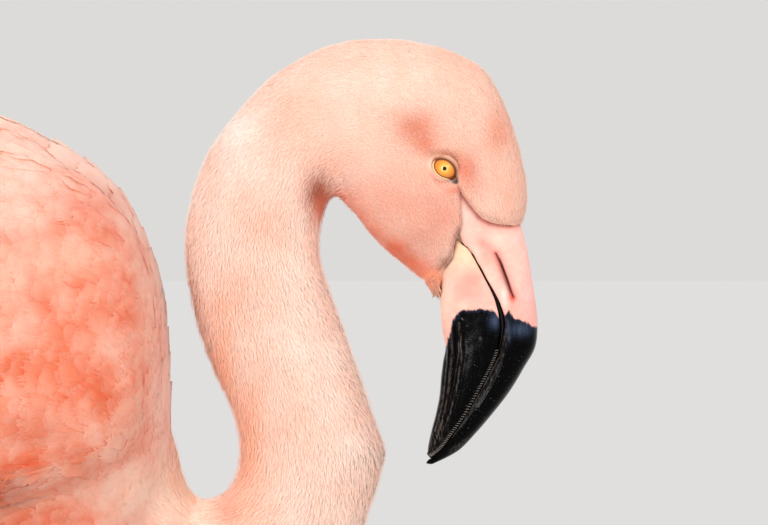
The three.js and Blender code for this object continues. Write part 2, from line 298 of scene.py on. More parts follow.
def plumageMaterial(name, finish, barbs=None, thin=False):
    # tone painted on the mesh, a fine speckle, a broad mottle and, on vanes, the ribs of the barbs
    material, tree, shader = newMaterial(name, Roughness=finish["roughness"], Subsurface_Weight=0.12,
                                         Subsurface_Radius=(1, 0.45, 0.3), Subsurface_Scale=0.003,
                                         Sheen_Weight=0.9, Sheen_Roughness=0.38,
                                         Sheen_Tint=(1, 0.86, 0.78, 1), Specular_IOR_Level=0.25)
    speckle = noiseOf(tree, finish["speckle"], 2.0)
    deep = finish["mottleDepth"]
    mottle = rampOf(tree, noiseOf(tree, finish["mottle"], 3.0),
                    [(0.3, (1, 1 - deep, 1 - deep * 1.4)), (0.65, grey(1.0))])
    tinted = darkened(tree, paintedTone(tree), speckle, 0.3, 0.7, 1 - finish["speckleDepth"])
    tinted = multiplied(tree, tinted, mottle)
    if barbs:
        uv = addNode(tree, "ShaderNodeUVMap", uv_map="Vane")
        wave = addNode(tree, "ShaderNodeTexWave", wave_type="BANDS", bands_direction="Y", Scale=barbs,
                       Distortion=1.5, Detail=1.0)
        tree.links.new(uv.outputs["UV"], wave.inputs["Vector"])
        ribs = wave.outputs["Fac"]
        tinted = darkened(tree, tinted, ribs, 0.0, 0.6, finish["ribs"])
        bumpOf(tree, shader, ribs, 0.2, 0.15)
    else:
        bumpOf(tree, shader, noiseOf(tree, 1600, 2.0), 0.3, 0.2)
    tree.links.new(tinted, shader.inputs["Base Color"])
    if thin:                                          # thin vanes let some light through
        through = addNode(tree, "ShaderNodeBsdfTranslucent")
        both = addNode(tree, "ShaderNodeMixShader", Fac=finish["glow"])
        tree.links.new(multiplied(tree, tinted, grey(1.3)), through.inputs["Color"])
        tree.links.new(shader.outputs["BSDF"], both.inputs[1])
        tree.links.new(through.outputs["BSDF"], both.inputs[2])
        tree.links.new(both.outputs["Shader"], tree.nodes["Material Output"].inputs["Surface"])
    return material


downMaterial = plumageMaterial("down", plumageFinish)
barbMaterial = plumageMaterial("barb", plumageFinish, thin=True)
vaneMaterial = plumageMaterial("vane", plumageFinish, barbs=5.0, thin=True)


# studio: camera, floor and lights

studio = {
    "frameCentre": (233.9, 571.9),   # middle of the picture in the bird's middle plane
    "frameWidth": 357.1,
    "distance": 3000,
    "sensor": 36.0,                  # in the camera's own millimetres
    "floorTone": "c9c9c8",
    "backdropTone": "dcdbd9",        # the floor's tone where it meets the horizon
    "floorReach": 200.0,             # metres from the middle to each edge
    "floorDrop": 0.0002,             # metres below the soles
    "key": 1.0, "fill": 1.6, "rim": 1.15,
    "skyTone": "f4f5f8",
    "skyStrength": 0.92,
}

camera = bpy.data.objects.new("camera", bpy.data.cameras.new("camera"))
camera.data.sensor_width = studio["sensor"]
camera.data.lens = studio["sensor"] * studio["distance"] / studio["frameWidth"]
camera.data.clip_end = 500
camera.location = (studio["frameCentre"][0] * mm, -studio["distance"] * mm, studio["frameCentre"][1] * mm)
camera.rotation_euler = (math.pi / 2, 0, 0)
scene.collection.objects.link(camera)
scene.camera = camera

floorMaterial, _, _ = newMaterial("floor", Roughness=1.0, Specular_IOR_Level=0.0,
                                  Base_Color=(*colour(studio["floorTone"]), 1))
corners = np.array([[-1, -1, 0], [1, -1, 0], [1, 1, 0], [-1, 1, 0]]) * studio["floorReach"]
corners -= [0, 0, studio["floorDrop"]]
floor = makePiece("floor", corners, [[0, 1, 2, 3]], floorMaterial, smooth=False)

world = bpy.data.worlds.new("studio")
world.use_nodes = True
scene.world = world
sky = world.node_tree.nodes["Background"]
sky.inputs["Color"].default_value = (*colour(studio["skyTone"]), 1)
sky.inputs["Strength"].default_value = studio["skyStrength"]
skyTree = world.node_tree
backdrop = addNode(skyTree, "ShaderNodeBackground", Color=(*colour(studio["backdropTone"]), 1))
seen = addNode(skyTree, "ShaderNodeLightPath")
choose = addNode(skyTree, "ShaderNodeMixShader")
skyTree.links.new(seen.outputs["Is Camera Ray"], choose.inputs["Fac"])
skyTree.links.new(sky.outputs["Background"], choose.inputs[1])
skyTree.links.new(backdrop.outputs["Background"], choose.inputs[2])
skyTree.links.new(choose.outputs["Shader"], skyTree.nodes["World Output"].inputs["Surface"])


def softSun(name, spread, place, tone):
    # spread is the light's width in degrees, place the side it comes from
    lamp = bpy.data.lights.new(name, "SUN")
    lamp.energy, lamp.angle, lamp.color = studio[name], math.radians(spread), colour(tone)
    light = bpy.data.objects.new(name, lamp)
    out = np.array(place, float)
    pitch = math.atan2(math.hypot(out[0], out[1]), out[2])
    light.rotation_euler = (pitch, 0, math.atan2(-out[1], -out[0]) - math.pi / 2)
    light.location = out * 2 / np.linalg.norm(out)
    scene.collection.objects.link(light)


softSun("key", 24, (0.68, -0.60, 0.42), "fffaf4")
softSun("fill", 16, (-0.42, -0.90, 0.12), "fffaf6")
softSun("rim", 40, (-0.40, 0.70, 0.75), "fffaf2")
print("studio ready")


# the lie of the plumage: a line through the bird from the bill to the tail

spineLine = [
    (288, 570), (272, 604), (250, 628), (222, 640), (200, 630), (183, 610), (174, 588), (176, 560),
    (186, 530), (197, 500), (200, 470), (186, 442), (155, 428), (115, 440), (70, 480), (0, 520), (-90, 535),
    (-200, 540), (-310, 530),
]
spineStep = 2.0       # mm between the samples of the line
spineRough = curveThrough(spineLine)(np.linspace(0, len(spineLine) - 1, 1200))
spineRun = np.concatenate([[0], np.cumsum(np.linalg.norm(np.diff(spineRough, axis=0), axis=1))])
spineTotal = spineRun[-1]
spineAlong = np.arange(0, spineTotal, spineStep)
spinePoints = np.stack([np.interp(spineAlong, spineRun, spineRough[:, c]) for c in (0, 1)], axis=1)
spineHeading = unit(np.gradient(spinePoints, axis=0))
neckBaseRun = 400.0   # mm along the line where the neck joins the body
headEndRun = 120.0    # where the head joins the neck
faceEndRun = 140.0    # and where the marks of the face end


def treeOf(nodes):
    # one tree to measure the distance to several solids
    places, corners = [], []
    for node in nodes:
        spots, _, faces = readMesh(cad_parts[node].data)
        corners += (faces + len(places)).tolist()
        places += [tuple(p) for p in spots]
    return BVHTree.FromPolygons(places, corners)


wingNodes = ["wing_left", "wing_right"]
bodyNodes = ["trunk", "tail", "thigh_left", "thigh_right"]
neckNodes = ["neck_lower", "neck_middle", "neck_upper", "head"]
regionTrees = [treeOf(neckNodes), treeOf(bodyNodes), treeOf(wingNodes)]
neckRegion, bodyRegion, wingRegion = 0, 1, 2


def regionOf(points):
    # which of the three regions each point lies nearest to
    away = np.array([[tree.find_nearest(p)[3] for tree in regionTrees] for p in points.tolist()])
    return away.argmin(axis=1)


def onSpine(points, region):
    # for each point in metres: how far along the line it lies in mm, its heading there, and its turn
    # round the line
    x, z = sideView(points)
    run, heading = np.zeros(len(points)), np.zeros((len(points), 2))
    middle = np.zeros((len(points), 2))
    onNeck = region[:, None] == neckRegion
    wrongSide = np.where(onNeck, spineAlong > neckBaseRun + 20, spineAlong < neckBaseRun)
    batch = 20000
    for start in range(0, len(points), batch):
        part = slice(start, start + batch)
        away = np.hypot(x[part, None] - spinePoints[None, :, 0], z[part, None] - spinePoints[None, :, 1])
        away = away + np.where(wrongSide[part], 1000.0, 0.0)
        weight = np.exp(-(away - away.min(axis=1, keepdims=True)) / 5.0)
        weight /= weight.sum(axis=1, keepdims=True)
        run[part] = weight @ spineAlong
        heading[part] = weight @ spineHeading
        middle[part] = weight @ spinePoints
    heading = unit(heading)
    back = np.stack([heading[:, 1], -heading[:, 0]], axis=1)
    height = (x - middle[:, 0]) * back[:, 0] + (z - middle[:, 1]) * back[:, 1]
    turn = np.arctan2(points[:, 1] / mm, height)
    return run, heading, turn


def chinShare(points, run):
    # 1 on the chin, where feathers hang down along the bill's edge
    x, z = sideView(points)
    return around(x, z, (256.5, 561), (5.5, 7)) * (run < faceEndRun)


def lieOf(points, normals, heading, run):
    # which way feathers point on the surface: along the line towards the tail, drooping a little on the body
    x, z = sideView(points)
    pastNeck = run > neckBaseRun
    flat = np.stack([heading[:, 0], np.zeros(len(heading)), heading[:, 1]], axis=1)
    ahead = 0.15 + 0.85 * smoothStep(-170, -90, x)
    droop = 0.45 * smoothStep(neckBaseRun - 20, neckBaseRun + 80, run) * ahead
    droop = droop + 3.0 * smoothStep(425, 385, z) * smoothStep(-115, -80, x) * pastNeck  # on the thighs
    droop = droop + 0.8 * smoothStep(530, 485, z) * smoothStep(110, 60, x) * pastNeck    # on the belly
    flat[:, 2] -= droop
    flat = blend(flat, np.array([0.38, 0, -0.92]), chinShare(points, run)[:, None])
    return unit(flat - normals * (flat * normals).sum(axis=1, keepdims=True))


bakeShare, bakePatch = 0.992, 0.003   # the used share of the unwrap, and the size of a feather's patch


def bakeSpot(run, turn):
    # place on the unwrap of the bird's own shape: run along it, and turn round it
    along = (1 - bakeShare) / 2 + bakeShare * np.clip(run / spineTotal, 0, 1)
    return np.stack([along, 0.5 + turn / (2 * math.pi) * bakeShare], axis=1)


# markings, shared by the skin and every feather

plumageTones = {
    "head": "f9d0ba", "neck": "f9d2bd", "neckPale": "fce6da", "breast": "fcdcc8", "body": "f9aa8a",
    "deep": "f4845a", "tip": "fdd3bb", "vent": "f9c8b8",
}
softPatches = [  # in the side view, on both sides of the bird: x, z, reach along each, tone, strength
    # behind and above the eye
    (249, 634, 9, 8, "e07b50", 0.8), (253, 626, 5, 4, "e07c52", 0.65),
    # in front of the eye
    (272, 614, 6, 7, "e28058", 0.75),
    # painted shade under the brow, over the eye
    (257, 621.5, 3, 1.6, "c98a66", 0.6), (262, 622.3, 4, 1.6, "c98a66", 0.6),
    (266.8, 620, 2.5, 2.4, "c98a66", 0.6),
    # under the front corner
    (266, 604.5, 3, 1.5, "ef7f56", 0.7),
    # on the forehead
    (287, 631, 5, 9, "ee9468", 0.65),
    # cheek
    (240, 600, 26, 14, "f0a488", 0.65), (262, 592, 9, 10, "ee9c80", 0.6), (253, 579, 8, 7, "dd957c", 0.6),
    # crown
    (230, 655, 34, 10, "fbe0d0", 0.7),
    # back of the lower neck: orange streaks, painted lighter in place of light on this shaded side
    (158, 515, 6, 28, "ffba8a", 0.8), (171, 487, 6, 24, "ffb98c", 0.6),
    # pale nape
    (141, 600, 8, 44, "fff4ec", 0.8), (149, 562, 6, 24, "ffe4d4", 0.7),
    # pale throat side of the neck
    (196, 565, 7, 30, "ffeee2", 0.7), (209, 525, 8, 30, "ffeade", 0.6),
    # orange band under the cheek: its own orange, deepened as painted shade of the underside; with a pale
    # patch above it, and above it a brown spot of painted shade where the cheek's feathers end
    (239, 577.5, 6, 4, "e8764a", 0.85), (246.3, 571.8, 6, 3.6, "e8764a", 0.9),
    (253.4, 565.6, 6, 3.6, "ea7d52", 0.9), (258.4, 560.4, 4, 5, "ea7d52", 0.9),
    (254, 576, 6, 4, "f3cabb", 0.6), (262.3, 571.5, 2, 2.2, "a4644a", 0.6),
    # pale shoulder: paler plumage, with painted light along the body's upper rim
    (66, 620, 22, 24, "fff0e4", 0.85), (86, 632, 12, 8, "feeadd", 0.8), (106, 613, 10, 9, "feeadd", 0.8),
    (120, 592, 8, 11, "fee8da", 0.8), (130, 565, 6, 13, "fee3d2", 0.8),
    # rosy lines and pale clouds below it
    (100, 597, 14, 4, "f8ad97", 0.55), (66, 594, 13, 5, "fde4d3", 0.75), (62, 583, 10, 3, "f6a58c", 0.6),
    (64, 566, 17, 11, "fddcc6", 0.8), (94, 573, 8, 7, "fdd5ba", 0.75), (112, 559, 5, 7, "fdd0ba", 0.6),
    (112, 538, 6, 6, "fdcdb6", 0.65), (92, 498, 7, 5, "fcc9b2", 0.65), (70, 512, 9, 5, "fcc4aa", 0.5),
    # orange clouds
    (84, 524, 12, 6, "f6804f", 0.7), (93, 541, 10, 7, "f68a5e", 0.65), (116, 547, 6, 6, "f58359", 0.65),
    (129, 530, 3.5, 12, "f5794e", 0.2), (75, 496, 11, 7, "ea7040", 0.75), (93, 484, 8, 6, "f08a62", 0.6),
    (60, 468, 12, 10, "d96a40", 0.7),
    # pale front edge: pale feather tips, with painted rim light
    (132, 505, 5, 22, "ffe6d8", 0.85), (118, 494, 8, 8, "fbc4aa", 0.7),
    # cream where the neck joins, and an orange fold beside it
    (127, 466, 17, 15, "ffead9", 0.9), (143, 463, 12, 12, "ffecda", 0.9), (164, 457, 6, 7, "f8a485", 0.7),
    # clouds on the wing
    (-20, 590, 34, 20, "fdd9c2", 0.7), (-90, 540, 30, 14, "f6794b", 0.6), (10, 500, 26, 14, "f58055", 0.6),
    # top edge of the back: painted light from above
    (52, 642, 30, 7, "fff4ea", 0.85), (84, 620, 14, 5, "fff0e4", 0.5),
    # painted shade in the fold of the throat, in deep orange
    (204, 605, 5.5, 8, "ac4600", 0.9), (206, 597, 4, 5, "e4702c", 0.85), (214, 601, 5.5, 4, "f48046", 0.75),
    # underside of the throat: its own orange, deepened as painted shade; the last spot, on the chin, painted
    # lighter against the shade there
    (221, 592, 5.5, 4.5, "f6824a", 0.75), (229, 584, 5.5, 4.5, "f48048", 0.8),
    (238, 576, 5.5, 4.5, "f4824c", 0.78), (247, 568.5, 5.5, 4.5, "f88a56", 0.8),
    (256, 562, 5, 7, "ffb088", 0.85),
    # pale back of the head, and the body's front edge once more, with its painted rim light
    (165, 634, 14, 16, "fff6f0", 0.8), (127, 541, 4, 16, "ffdcc8", 0.6),
]


# painted shade: dark lines in the creases where the feathers of the face end
creaseShadows = [  # darker lines where the feathers of the face end, and how far to each side they reach
    {"line": [(268.2, 587), (266.9, 583.4), (265.6, 578.6), (264.4, 574.3), (262.2, 571.1), (259.4, 568.5)],
     "reach": 0.8, "tone": "8a4c34", "strength": 0.45},
    {"line": [(267.2, 609.4), (269.6, 604.6), (273.4, 600.1), (277.4, 595.6), (280.6, 593.4), (285, 591.8),
              (289.4, 591)],
     "reach": 0.6, "tone": "8f4a34", "strength": 0.15},
]


def plumageTone(points, run):
    # the tone of the plumage at each point; run is how far along the bird's line it lies
    x, z = sideView(points)
    tones = coloursOf(plumageTones)
    share = smoothStep(60, 150, run)[:, None]
    tone = blend(tones["head"], tones["neck"], share)
    pale = (0.5 + 0.5 * waves(points, 0.05, 5))[:, None] * share
    tone = blend(tone, tones["neckPale"], pale * 0.6)
    bodyShare = smoothStep(neckBaseRun - 60, neckBaseRun + 50, run)[:, None]
    mottle = (0.5 + 0.35 * waves(points, 0.045, 6) + 0.25 * waves(points, 0.016, 7))[:, None]
    body = blend(tones["body"], tones["deep"], smoothStep(0.55, 0.95, mottle))
    body = blend(body, tones["breast"], smoothStep(0.6, 0.1, mottle) * 0.6)
    body = blend(body, tones["vent"], smoothStep(-120, -220, x)[:, None] * 0.5)
    tone = blend(tone, body, bodyShare)
    for placeX, placeZ, reachX, reachZ, code, strength in softPatches:
        away = ((x - placeX) / reachX) ** 2 + ((z - placeZ) / reachZ) ** 2
        tone = washed(tone, colour(code), strength * np.exp(-away * 0.7))
    face = (x > 250) & (run < faceEndRun)
    # the painted shade of the face's creases laid over the tone
    for creaseShadow in creaseShadows:
        away, _ = nearLine(x[face], z[face], creaseShadow["line"])
        amount = creaseShadow["strength"] * fade(away, creaseShadow["reach"])
        tone[face] = washed(tone[face], colour(creaseShadow["tone"]), amount)
    return tone


# skin: one shell over every solid of flesh, drawn in by the depth of the coat

fleshNodes = ["trunk", "neck_lower", "neck_middle", "neck_upper", "head", "tail", "wing_left", "wing_right",
              "thigh_left", "thigh_right"]
skinShape = {"voxel": 2.9, "swell": 0.5, "softening": 18, "headSoftening": 6, "faceTone": "f3cdb4"}
faceBackX = 240   # mm; the bare face and the eyes lie ahead of it

# feathered edge round the bare face and bill, in the side view: the forehead's rim, then past the bill,
# then the cheek
faceOutline = [
    (268.0, 608.4), (270.6, 603.9), (274.2, 599.0), (278.2, 594.3), (280.9, 592.1), (285.1, 590.5),
    (289.4, 589.6), (294.7, 589.2), (304, 588.6), (312, 589), (318, 470), (240, 470), (258.5, 553.5),
    (258.9, 564.8), (259.9, 568.5), (262.7, 571.1), (264.8, 574.3), (265.6, 578.6), (266.9, 583.4),
    (268.2, 586.0), (269.7, 589.5), (269.4, 597.0),
]
eyePlace = {"at": (261.8, 615.2), "out": 19.4, "radius": 6.6, "half": (5.5, 3.95), "tilt": -35.0}


def shellOf(name, nodes, voxel, swell, softening):
    # one closed shell round several solids; voxel and swell are in mm, softening counts its rounds
    whole = bmesh.new()
    for node in nodes:
        part = bmesh.new()
        part.from_mesh(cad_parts[node].data)
        bmesh.ops.remove_doubles(part, verts=part.verts, dist=1e-5)
        part.normal_update()
        for v in part.verts:
            v.co += v.normal * swell * mm
        loose = bpy.data.meshes.new("part")
        part.to_mesh(loose)
        part.free()
        whole.from_mesh(loose)
        bpy.data.meshes.remove(loose)
    mesh = bpy.data.meshes.new(name)
    whole.to_mesh(mesh)
    whole.free()
    piece = bpy.data.objects.new(name, mesh)
    scene.collection.objects.link(piece)
    shell = piece.modifiers.new("shell", "REMESH")
    shell.mode, shell.voxel_size = "VOXEL", voxel * mm
    soften = piece.modifiers.new("soften", "SMOOTH")
    soften.factor, soften.iterations = 0.5, softening
    applyModifiers(piece)
    return piece


def applyModifiers(piece):
    done = bpy.data.meshes.new_from_object(piece.evaluated_get(bpy.context.evaluated_depsgraph_get()))
    piece.modifiers.clear()
    old = piece.data
    piece.data = done
    bpy.data.meshes.remove(old)


def eyeDistance(x, z):
    # 1 on the rim of the eye's opening, less inside it
    (cx, cz), (a, b), tilt = eyePlace["at"], eyePlace["half"], math.radians(eyePlace["tilt"])
    u = (x - cx) * math.cos(tilt) + (z - cz) * math.sin(tilt)
    w = -(x - cx) * math.sin(tilt) + (z - cz) * math.cos(tilt)
    return np.hypot(u / a, w / b)


def coatDepth(run, points):
    # how far the skin lies inside the solids, in mm, after the shell's own softening
    depth = np.interp(run, [0, 60, 120, 200, 340, 400, 470, 700, 850],
                      [0.5, 0.5, 0.9, 1.1, 1.3, 1.6, 2.2, 2.2, 2])
    onThigh = smoothStep(420, 370, points[:, 2] / mm) * (run > neckBaseRun)
    return blend(depth, 0.4, onThigh)


def halveEdges(mesh, back, low, high):
    # a finer mesh ahead of back and between two heights, all in metres
    edges = [e for e in mesh.edges if min(v.co.x for v in e.verts) > back
             and low < min(v.co.z for v in e.verts) < high]
    bmesh.ops.subdivide_edges(mesh, edges=edges, cuts=1, use_grid_fill=True)


skin = shellOf("skin", fleshNodes, skinShape["voxel"], skinShape["swell"], skinShape["softening"])
fine = bmesh.new()
fine.from_mesh(skin.data)
halveEdges(fine, 0.222, 0.55, 1.0)
halveEdges(fine, 0.248, 0.56, 0.635)
bmesh.ops.triangulate(fine, faces=fine.faces)
for _ in range(skinShape["headSoftening"]):
    bmesh.ops.smooth_vert(fine, verts=[v for v in fine.verts if v.co.x > 0.22 and v.co.z > 0.55], factor=0.5,
                          use_axis_x=True, use_axis_y=True, use_axis_z=True)
fine.to_mesh(skin.data)
fine.free()


def filledHollows(points, normals, triangles, share, rounds):
    # smoothing that only moves points outwards, so hollows fill up and round parts keep their shape
    sides = np.vstack([triangles[:, [0, 1]], triangles[:, [1, 2]], triangles[:, [2, 0]]])
    edges = np.unique(np.sort(sides), axis=0)
    near = np.concatenate([edges[:, 0], edges[:, 1]])
    far = np.concatenate([edges[:, 1], edges[:, 0]])
    degree = np.maximum(np.bincount(near, minlength=len(points)), 1)
    moved = points.copy()
    for _ in range(rounds):
        middle = np.stack([np.bincount(near, moved[far, c], len(points)) for c in range(3)], axis=1)
        middle = middle / degree[:, None]
        out = np.maximum(((middle - moved) * normals).sum(axis=1), 0) * share
        moved += normals * (out * 0.6)[:, None]
    return moved


points, normals, triangles = readMesh(skin.data)
x, z = sideView(points)
underWing = smoothStep(-130, -60, x) * smoothStep(158, 148, x) * smoothStep(535, 505, z)
underWing *= np.where(x > 122, smoothStep(466, 478, z), smoothStep(415, 435, z))
points = filledHollows(points, normals, triangles, underWing, 70)
setPoints(skin.data, points)
points, normals, triangles = readMesh(skin.data)
region = regionOf(points)
run, _, _ = onSpine(points, region)
x, z = sideView(points)
bare = insideLine(x, z, faceOutline)
onHead = (run < faceEndRun) & (x > faceBackX)
onCoat = onHead & (bare < 0.2)
bareShare = smoothStep(-0.3, 0.7, bare)
drawn = coatDepth(run, points)
drawn = np.where(onHead, drawn + 3.4 * bareShare, drawn)                # the bare face lies lower
drawn += np.where(onHead, 3.4 * around(x, z, (270, 579), (5, 6)) * bareShare, 0)
drawn -= np.where(onHead, 0.9 * fade(bare + 2.6, 2.2), 0)               # feathers roll over its edge
drawn -= np.where(onCoat, 1.1 * around(x, z, (259, 558.5), (3, 4)), 0)  # chin
drawn -= np.where(onCoat, 1.9 * smoothStep(655, 612, z) * smoothStep(276, 293, x), 0)  # full forehead
eyeAway = eyeDistance(x, z)
socket = np.where(onHead, smoothStep(0.15, 0.5, np.abs(normals[:, 1])), 0)
drawn += socket * 5.0 * smoothStep(1.12, 0.85, eyeAway)                 # room for the eyeball
drawn += socket * 0.35 * fade(eyeAway - 1.6, 0.5) * smoothStep(1.0, 1.2, eyeAway)  # hollow round the lids
points = points - normals * (drawn * mm)[:, None]
setPoints(skin.data, points)
points, normals, triangles = readMesh(skin.data)
run, _, _ = onSpine(points, region)
faceShare = np.where(onHead, smoothStep(0.2, 0.9, bare), 0)
skinTone = washed(plumageTone(points, run) * 0.97, colour(skinShape["faceTone"]), faceShare)
finishShell(skin, skinTone, downMaterial)
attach(skin, "root")
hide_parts(*fleshNodes)
skinTree = BVHTree.FromPolygons([tuple(p) for p in points], [tuple(t) for t in triangles.tolist()])
print("skin ready:", len(triangles), "triangles")


# roots of tufts and feathers on the skin

triangleRun = run[triangles].mean(axis=1)
triangleRegion = region[triangles[:, 0]]
triangleMiddle = points[triangles].mean(axis=1)
edgeA = points[triangles[:, 1]] - points[triangles[:, 0]]
edgeB = points[triangles[:, 2]] - points[triangles[:, 0]]
triangleArea = np.linalg.norm(np.cross(edgeA, edgeB), axis=1) / 2


triesForRoot = 3.0   # random places tried for each square of one spacing


def rootsOn(spacing, where, seed, tight=0.62):
    # roots about spacing apart (metres, one value for each triangle) on the triangles of where
    rng = np.random.default_rng(seed)
    expected = np.where(where, triangleArea / spacing ** 2, 0) * triesForRoot
    count = int(expected.sum())
    chosen = np.sort(rng.choice(len(triangles), size=count, p=expected / expected.sum()))
    a, b = rng.random(count), rng.random(count)
    fold = a + b > 1
    a, b = np.where(fold, 1 - a, a), np.where(fold, 1 - b, b)
    corner = triangles[chosen]
    place = points[corner[:, 0]] + edgeA[chosen] * a[:, None] + edgeB[chosen] * b[:, None]
    normal = unit(normals[corner[:, 0]] * (1 - a - b)[:, None] + normals[corner[:, 1]] * a[:, None]
                  + normals[corner[:, 2]] * b[:, None])
    gap = spacing[chosen]
    order = rng.permutation(count)
    place, normal, gap, kind = place[order], normal[order], gap[order], triangleRegion[chosen][order]
    kept = thinOut(place, gap * tight)
    return place[kept], normal[kept], kind[kept]


def thinOut(place, gap):
    # numbers of the points to keep: those with no kept neighbour nearer than their gap
    cell = float(gap.max())
    taken, kept = {}, []
    keys = np.floor(place / cell).astype(int)
    cells = [(i, j, k) for i in (-1, 0, 1) for j in (-1, 0, 1) for k in (-1, 0, 1)]
    listed, gaps, spots = keys.tolist(), (gap ** 2).tolist(), place.tolist()
    for n, (key, limit, p) in enumerate(zip(listed, gaps, spots)):
        free = True
        for i, j, k in cells:
            for q in taken.get((key[0] + i, key[1] + j, key[2] + k), ()):
                if (p[0] - q[0]) ** 2 + (p[1] - q[1]) ** 2 + (p[2] - q[2]) ** 2 < limit:
                    free = False
                    break
            if not free:
                break
        if free:
            taken.setdefault(tuple(key), []).append(p)
            kept.append(n)
    return kept


# tufts and hairs on the head and neck: slim closed blades, and loose barbs over them

bladeFaces = np.array([(0, 1, 3), (0, 3, 2), (0, 2, 1), (4, 3, 1), (4, 2, 3), (4, 1, 2)])
bladeSpots = np.array([(0, -0.5), (0.5, 0), (-0.5, 0), (0, 0), (0, 0.5)])  # laid flat for the bake


def bladeCoat(name, roots, normal, lie, size, lift, tone, tipTone, run, turn):
    # size is length, width and thickness in metres, a row for each tuft
    count = len(roots)
    side = np.cross(lie, normal)
    direction = unit(lie * np.cos(lift)[:, None] + normal * np.sin(lift)[:, None])
    length, width, thick = size[:, 0:1], size[:, 1:2], size[:, 2:3]
    middle = roots + direction * length * 0.42 + normal * thick * 0.6
    tip = roots + direction * length
    coords = np.stack([roots, middle + side * width / 2, middle - side * width / 2, middle + normal * thick,
                       tip], axis=1)
    faces = (np.arange(count)[:, None, None] * 5 + bladeFaces[None]).reshape(-1, 3)
    # the root a touch darker, as painted shade at the tuft's foot
    tones = np.stack([tone * 0.97, tone, tone, tone * 1.01, tipTone], axis=1).reshape(-1, 3)
    shades = np.stack([normal - direction * 0.2, normal + side * 0.25, normal - side * 0.25, normal,
                       normal + direction * 0.15], axis=1)
    patch = bladeSpots[bladeFaces] * bakePatch * (0.5, 1)
    patch[[0, 1, 3, 4], :, 0] -= bakePatch / 4                   # upper faces beside the lower ones
    patch[[2, 5], :, 0] += bakePatch / 4
    uv = (bakeSpot(run, turn)[:, None, None, :] + patch[None]).reshape(-1, 2)
    piece = makePiece(name, coords.reshape(-1, 3), faces, downMaterial, tones, {"OFBake": uv},
                      normals=shades.reshape(-1, 3))
    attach(piece, "root")
    print(name, "ready:", count, "tufts,", len(faces), "triangles")


headCoat = {"spacing": 1.0, "length": 2.7, "width": 0.8, "thick": 0.10, "lift": 9}
neckCoat = {"spacing": 1.42, "length": 6.0, "width": 1.5, "thick": 0.08, "lift": 5}


def offTheFace(roots, normal, eyeRoom):
    # true for roots outside the bare face and the eyes
    x, z = sideView(roots)
    keep = (insideLine(x, z, faceOutline) < 0.1) | (x < faceBackX)
    return keep & ~((eyeDistance(x, z) < eyeRoom) & (np.abs(normal[:, 1]) > 0.3) & (x > 250))


def swayed(rng, lie, normal, spread):
    # the lie turned a little to either side on the surface
    return unit(lie + np.cross(normal, lie) * rng.normal(0, spread, len(lie))[:, None])


def grownOn(rng, where, coat, seed, growth, eyeRoom, spread):
    # roots of a coat on the head and neck, each with its normal, lie, run and turn
    roots, normal, kind = rootsOn(coat["spacing"] * mm * growth(triangleRun), where, seed)
    keep = offTheFace(roots, normal, eyeRoom)
    roots, normal = roots[keep], normal[keep]
    run, heading, turn = onSpine(roots, kind[keep])
    return roots, normal, swayed(rng, lieOf(roots, normal, heading, run), normal, spread), run, turn


def tuftsOn(name, where, coat, seed, growth):
    rng = np.random.default_rng(seed)
    roots, normal, lie, run, turn = grownOn(rng, where, coat, seed, growth, 1.2, 0.22)
    grown = growth(run) * rng.uniform(0.75, 1.25, len(roots))
    x, z = sideView(roots)
    nearEye = smoothStep(3.4, 1.4, eyeDistance(x, z)) * (x > faceBackX)
    grown *= (1 - 0.5 * nearEye) * (1 + 0.9 * chinShare(roots, run))
    size = [coat["length"] * grown, coat["width"] * grown ** 0.7, coat["thick"] * grown ** 0.5]
    lift = np.radians(coat["lift"]) * rng.uniform(0.4, 1.7, len(roots)) * (1 - 0.5 * nearEye)
    tone = plumageTone(roots, run) * rng.uniform(0.94, 1.04, (len(roots), 1))
    # tips paler: painted glow of light shining through the tufts' ends
    tipTone = blend(tone, np.array([1.0, 0.93, 0.87]), 0.25)
    size = np.stack(size, axis=1) * mm
    bladeCoat(name, roots - normal * 0.25 * mm, normal, lie, size, lift, tone, tipTone, run, turn)


def hairPiece(name, root, way, up, reach, half, tones, run, turn):
    # hair-fine barbs of two triangles each; tones has a row for root, both sides and tip
    count = len(root)
    wide = np.cross(way, up)
    middle = root + way * (reach * 0.5)[:, None] + up * (0.1 * mm)
    tip = root + way * reach[:, None] - up * (reach * 0.04)[:, None]
    coords = np.stack([root, middle + wide * half[:, None], middle - wide * half[:, None], tip], axis=1)
    shades = np.repeat(up, 4, axis=0)
    corners = np.array([(0, 1, 2), (3, 2, 1)])
    faces = (np.arange(count)[:, None, None] * 4 + corners[None]).reshape(-1, 3)
    patch = np.array([(0, -0.5), (0.4, 0), (-0.4, 0), (0, 0.5)])[corners] * bakePatch
    uv = (bakeSpot(run, turn)[:, None, None, :] + patch[None]).reshape(-1, 2)
    piece = makePiece(name, coords.reshape(-1, 3), faces, barbMaterial, np.clip(tones, 0, 1).reshape(-1, 3),
                      {"OFBake": uv}, normals=shades)
    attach(piece, "root")
    print(name, "ready:", count, "hairs,", len(faces), "triangles")


def palerTips(rng, tone):
    # tones for the four corners of each hair, going paler towards the tip by a random amount: partly the
    # barbs' own paler ends, partly painted light shining through them
    paler = blend(tone, np.array([1.0, 0.86, 0.76]), rng.uniform(0, 0.4, (len(tone), 1)) ** 1.3)
    middle = blend(tone, paler, 0.6)
    return np.stack([tone, middle, middle, paler], axis=1)


neckHairs = {"spacing": 1.35, "length": 4.6, "width": 0.42, "lift": (6, 30)}
headHairs = {"spacing": 1.45, "length": 3.8, "width": 0.40, "lift": (3, 14)}


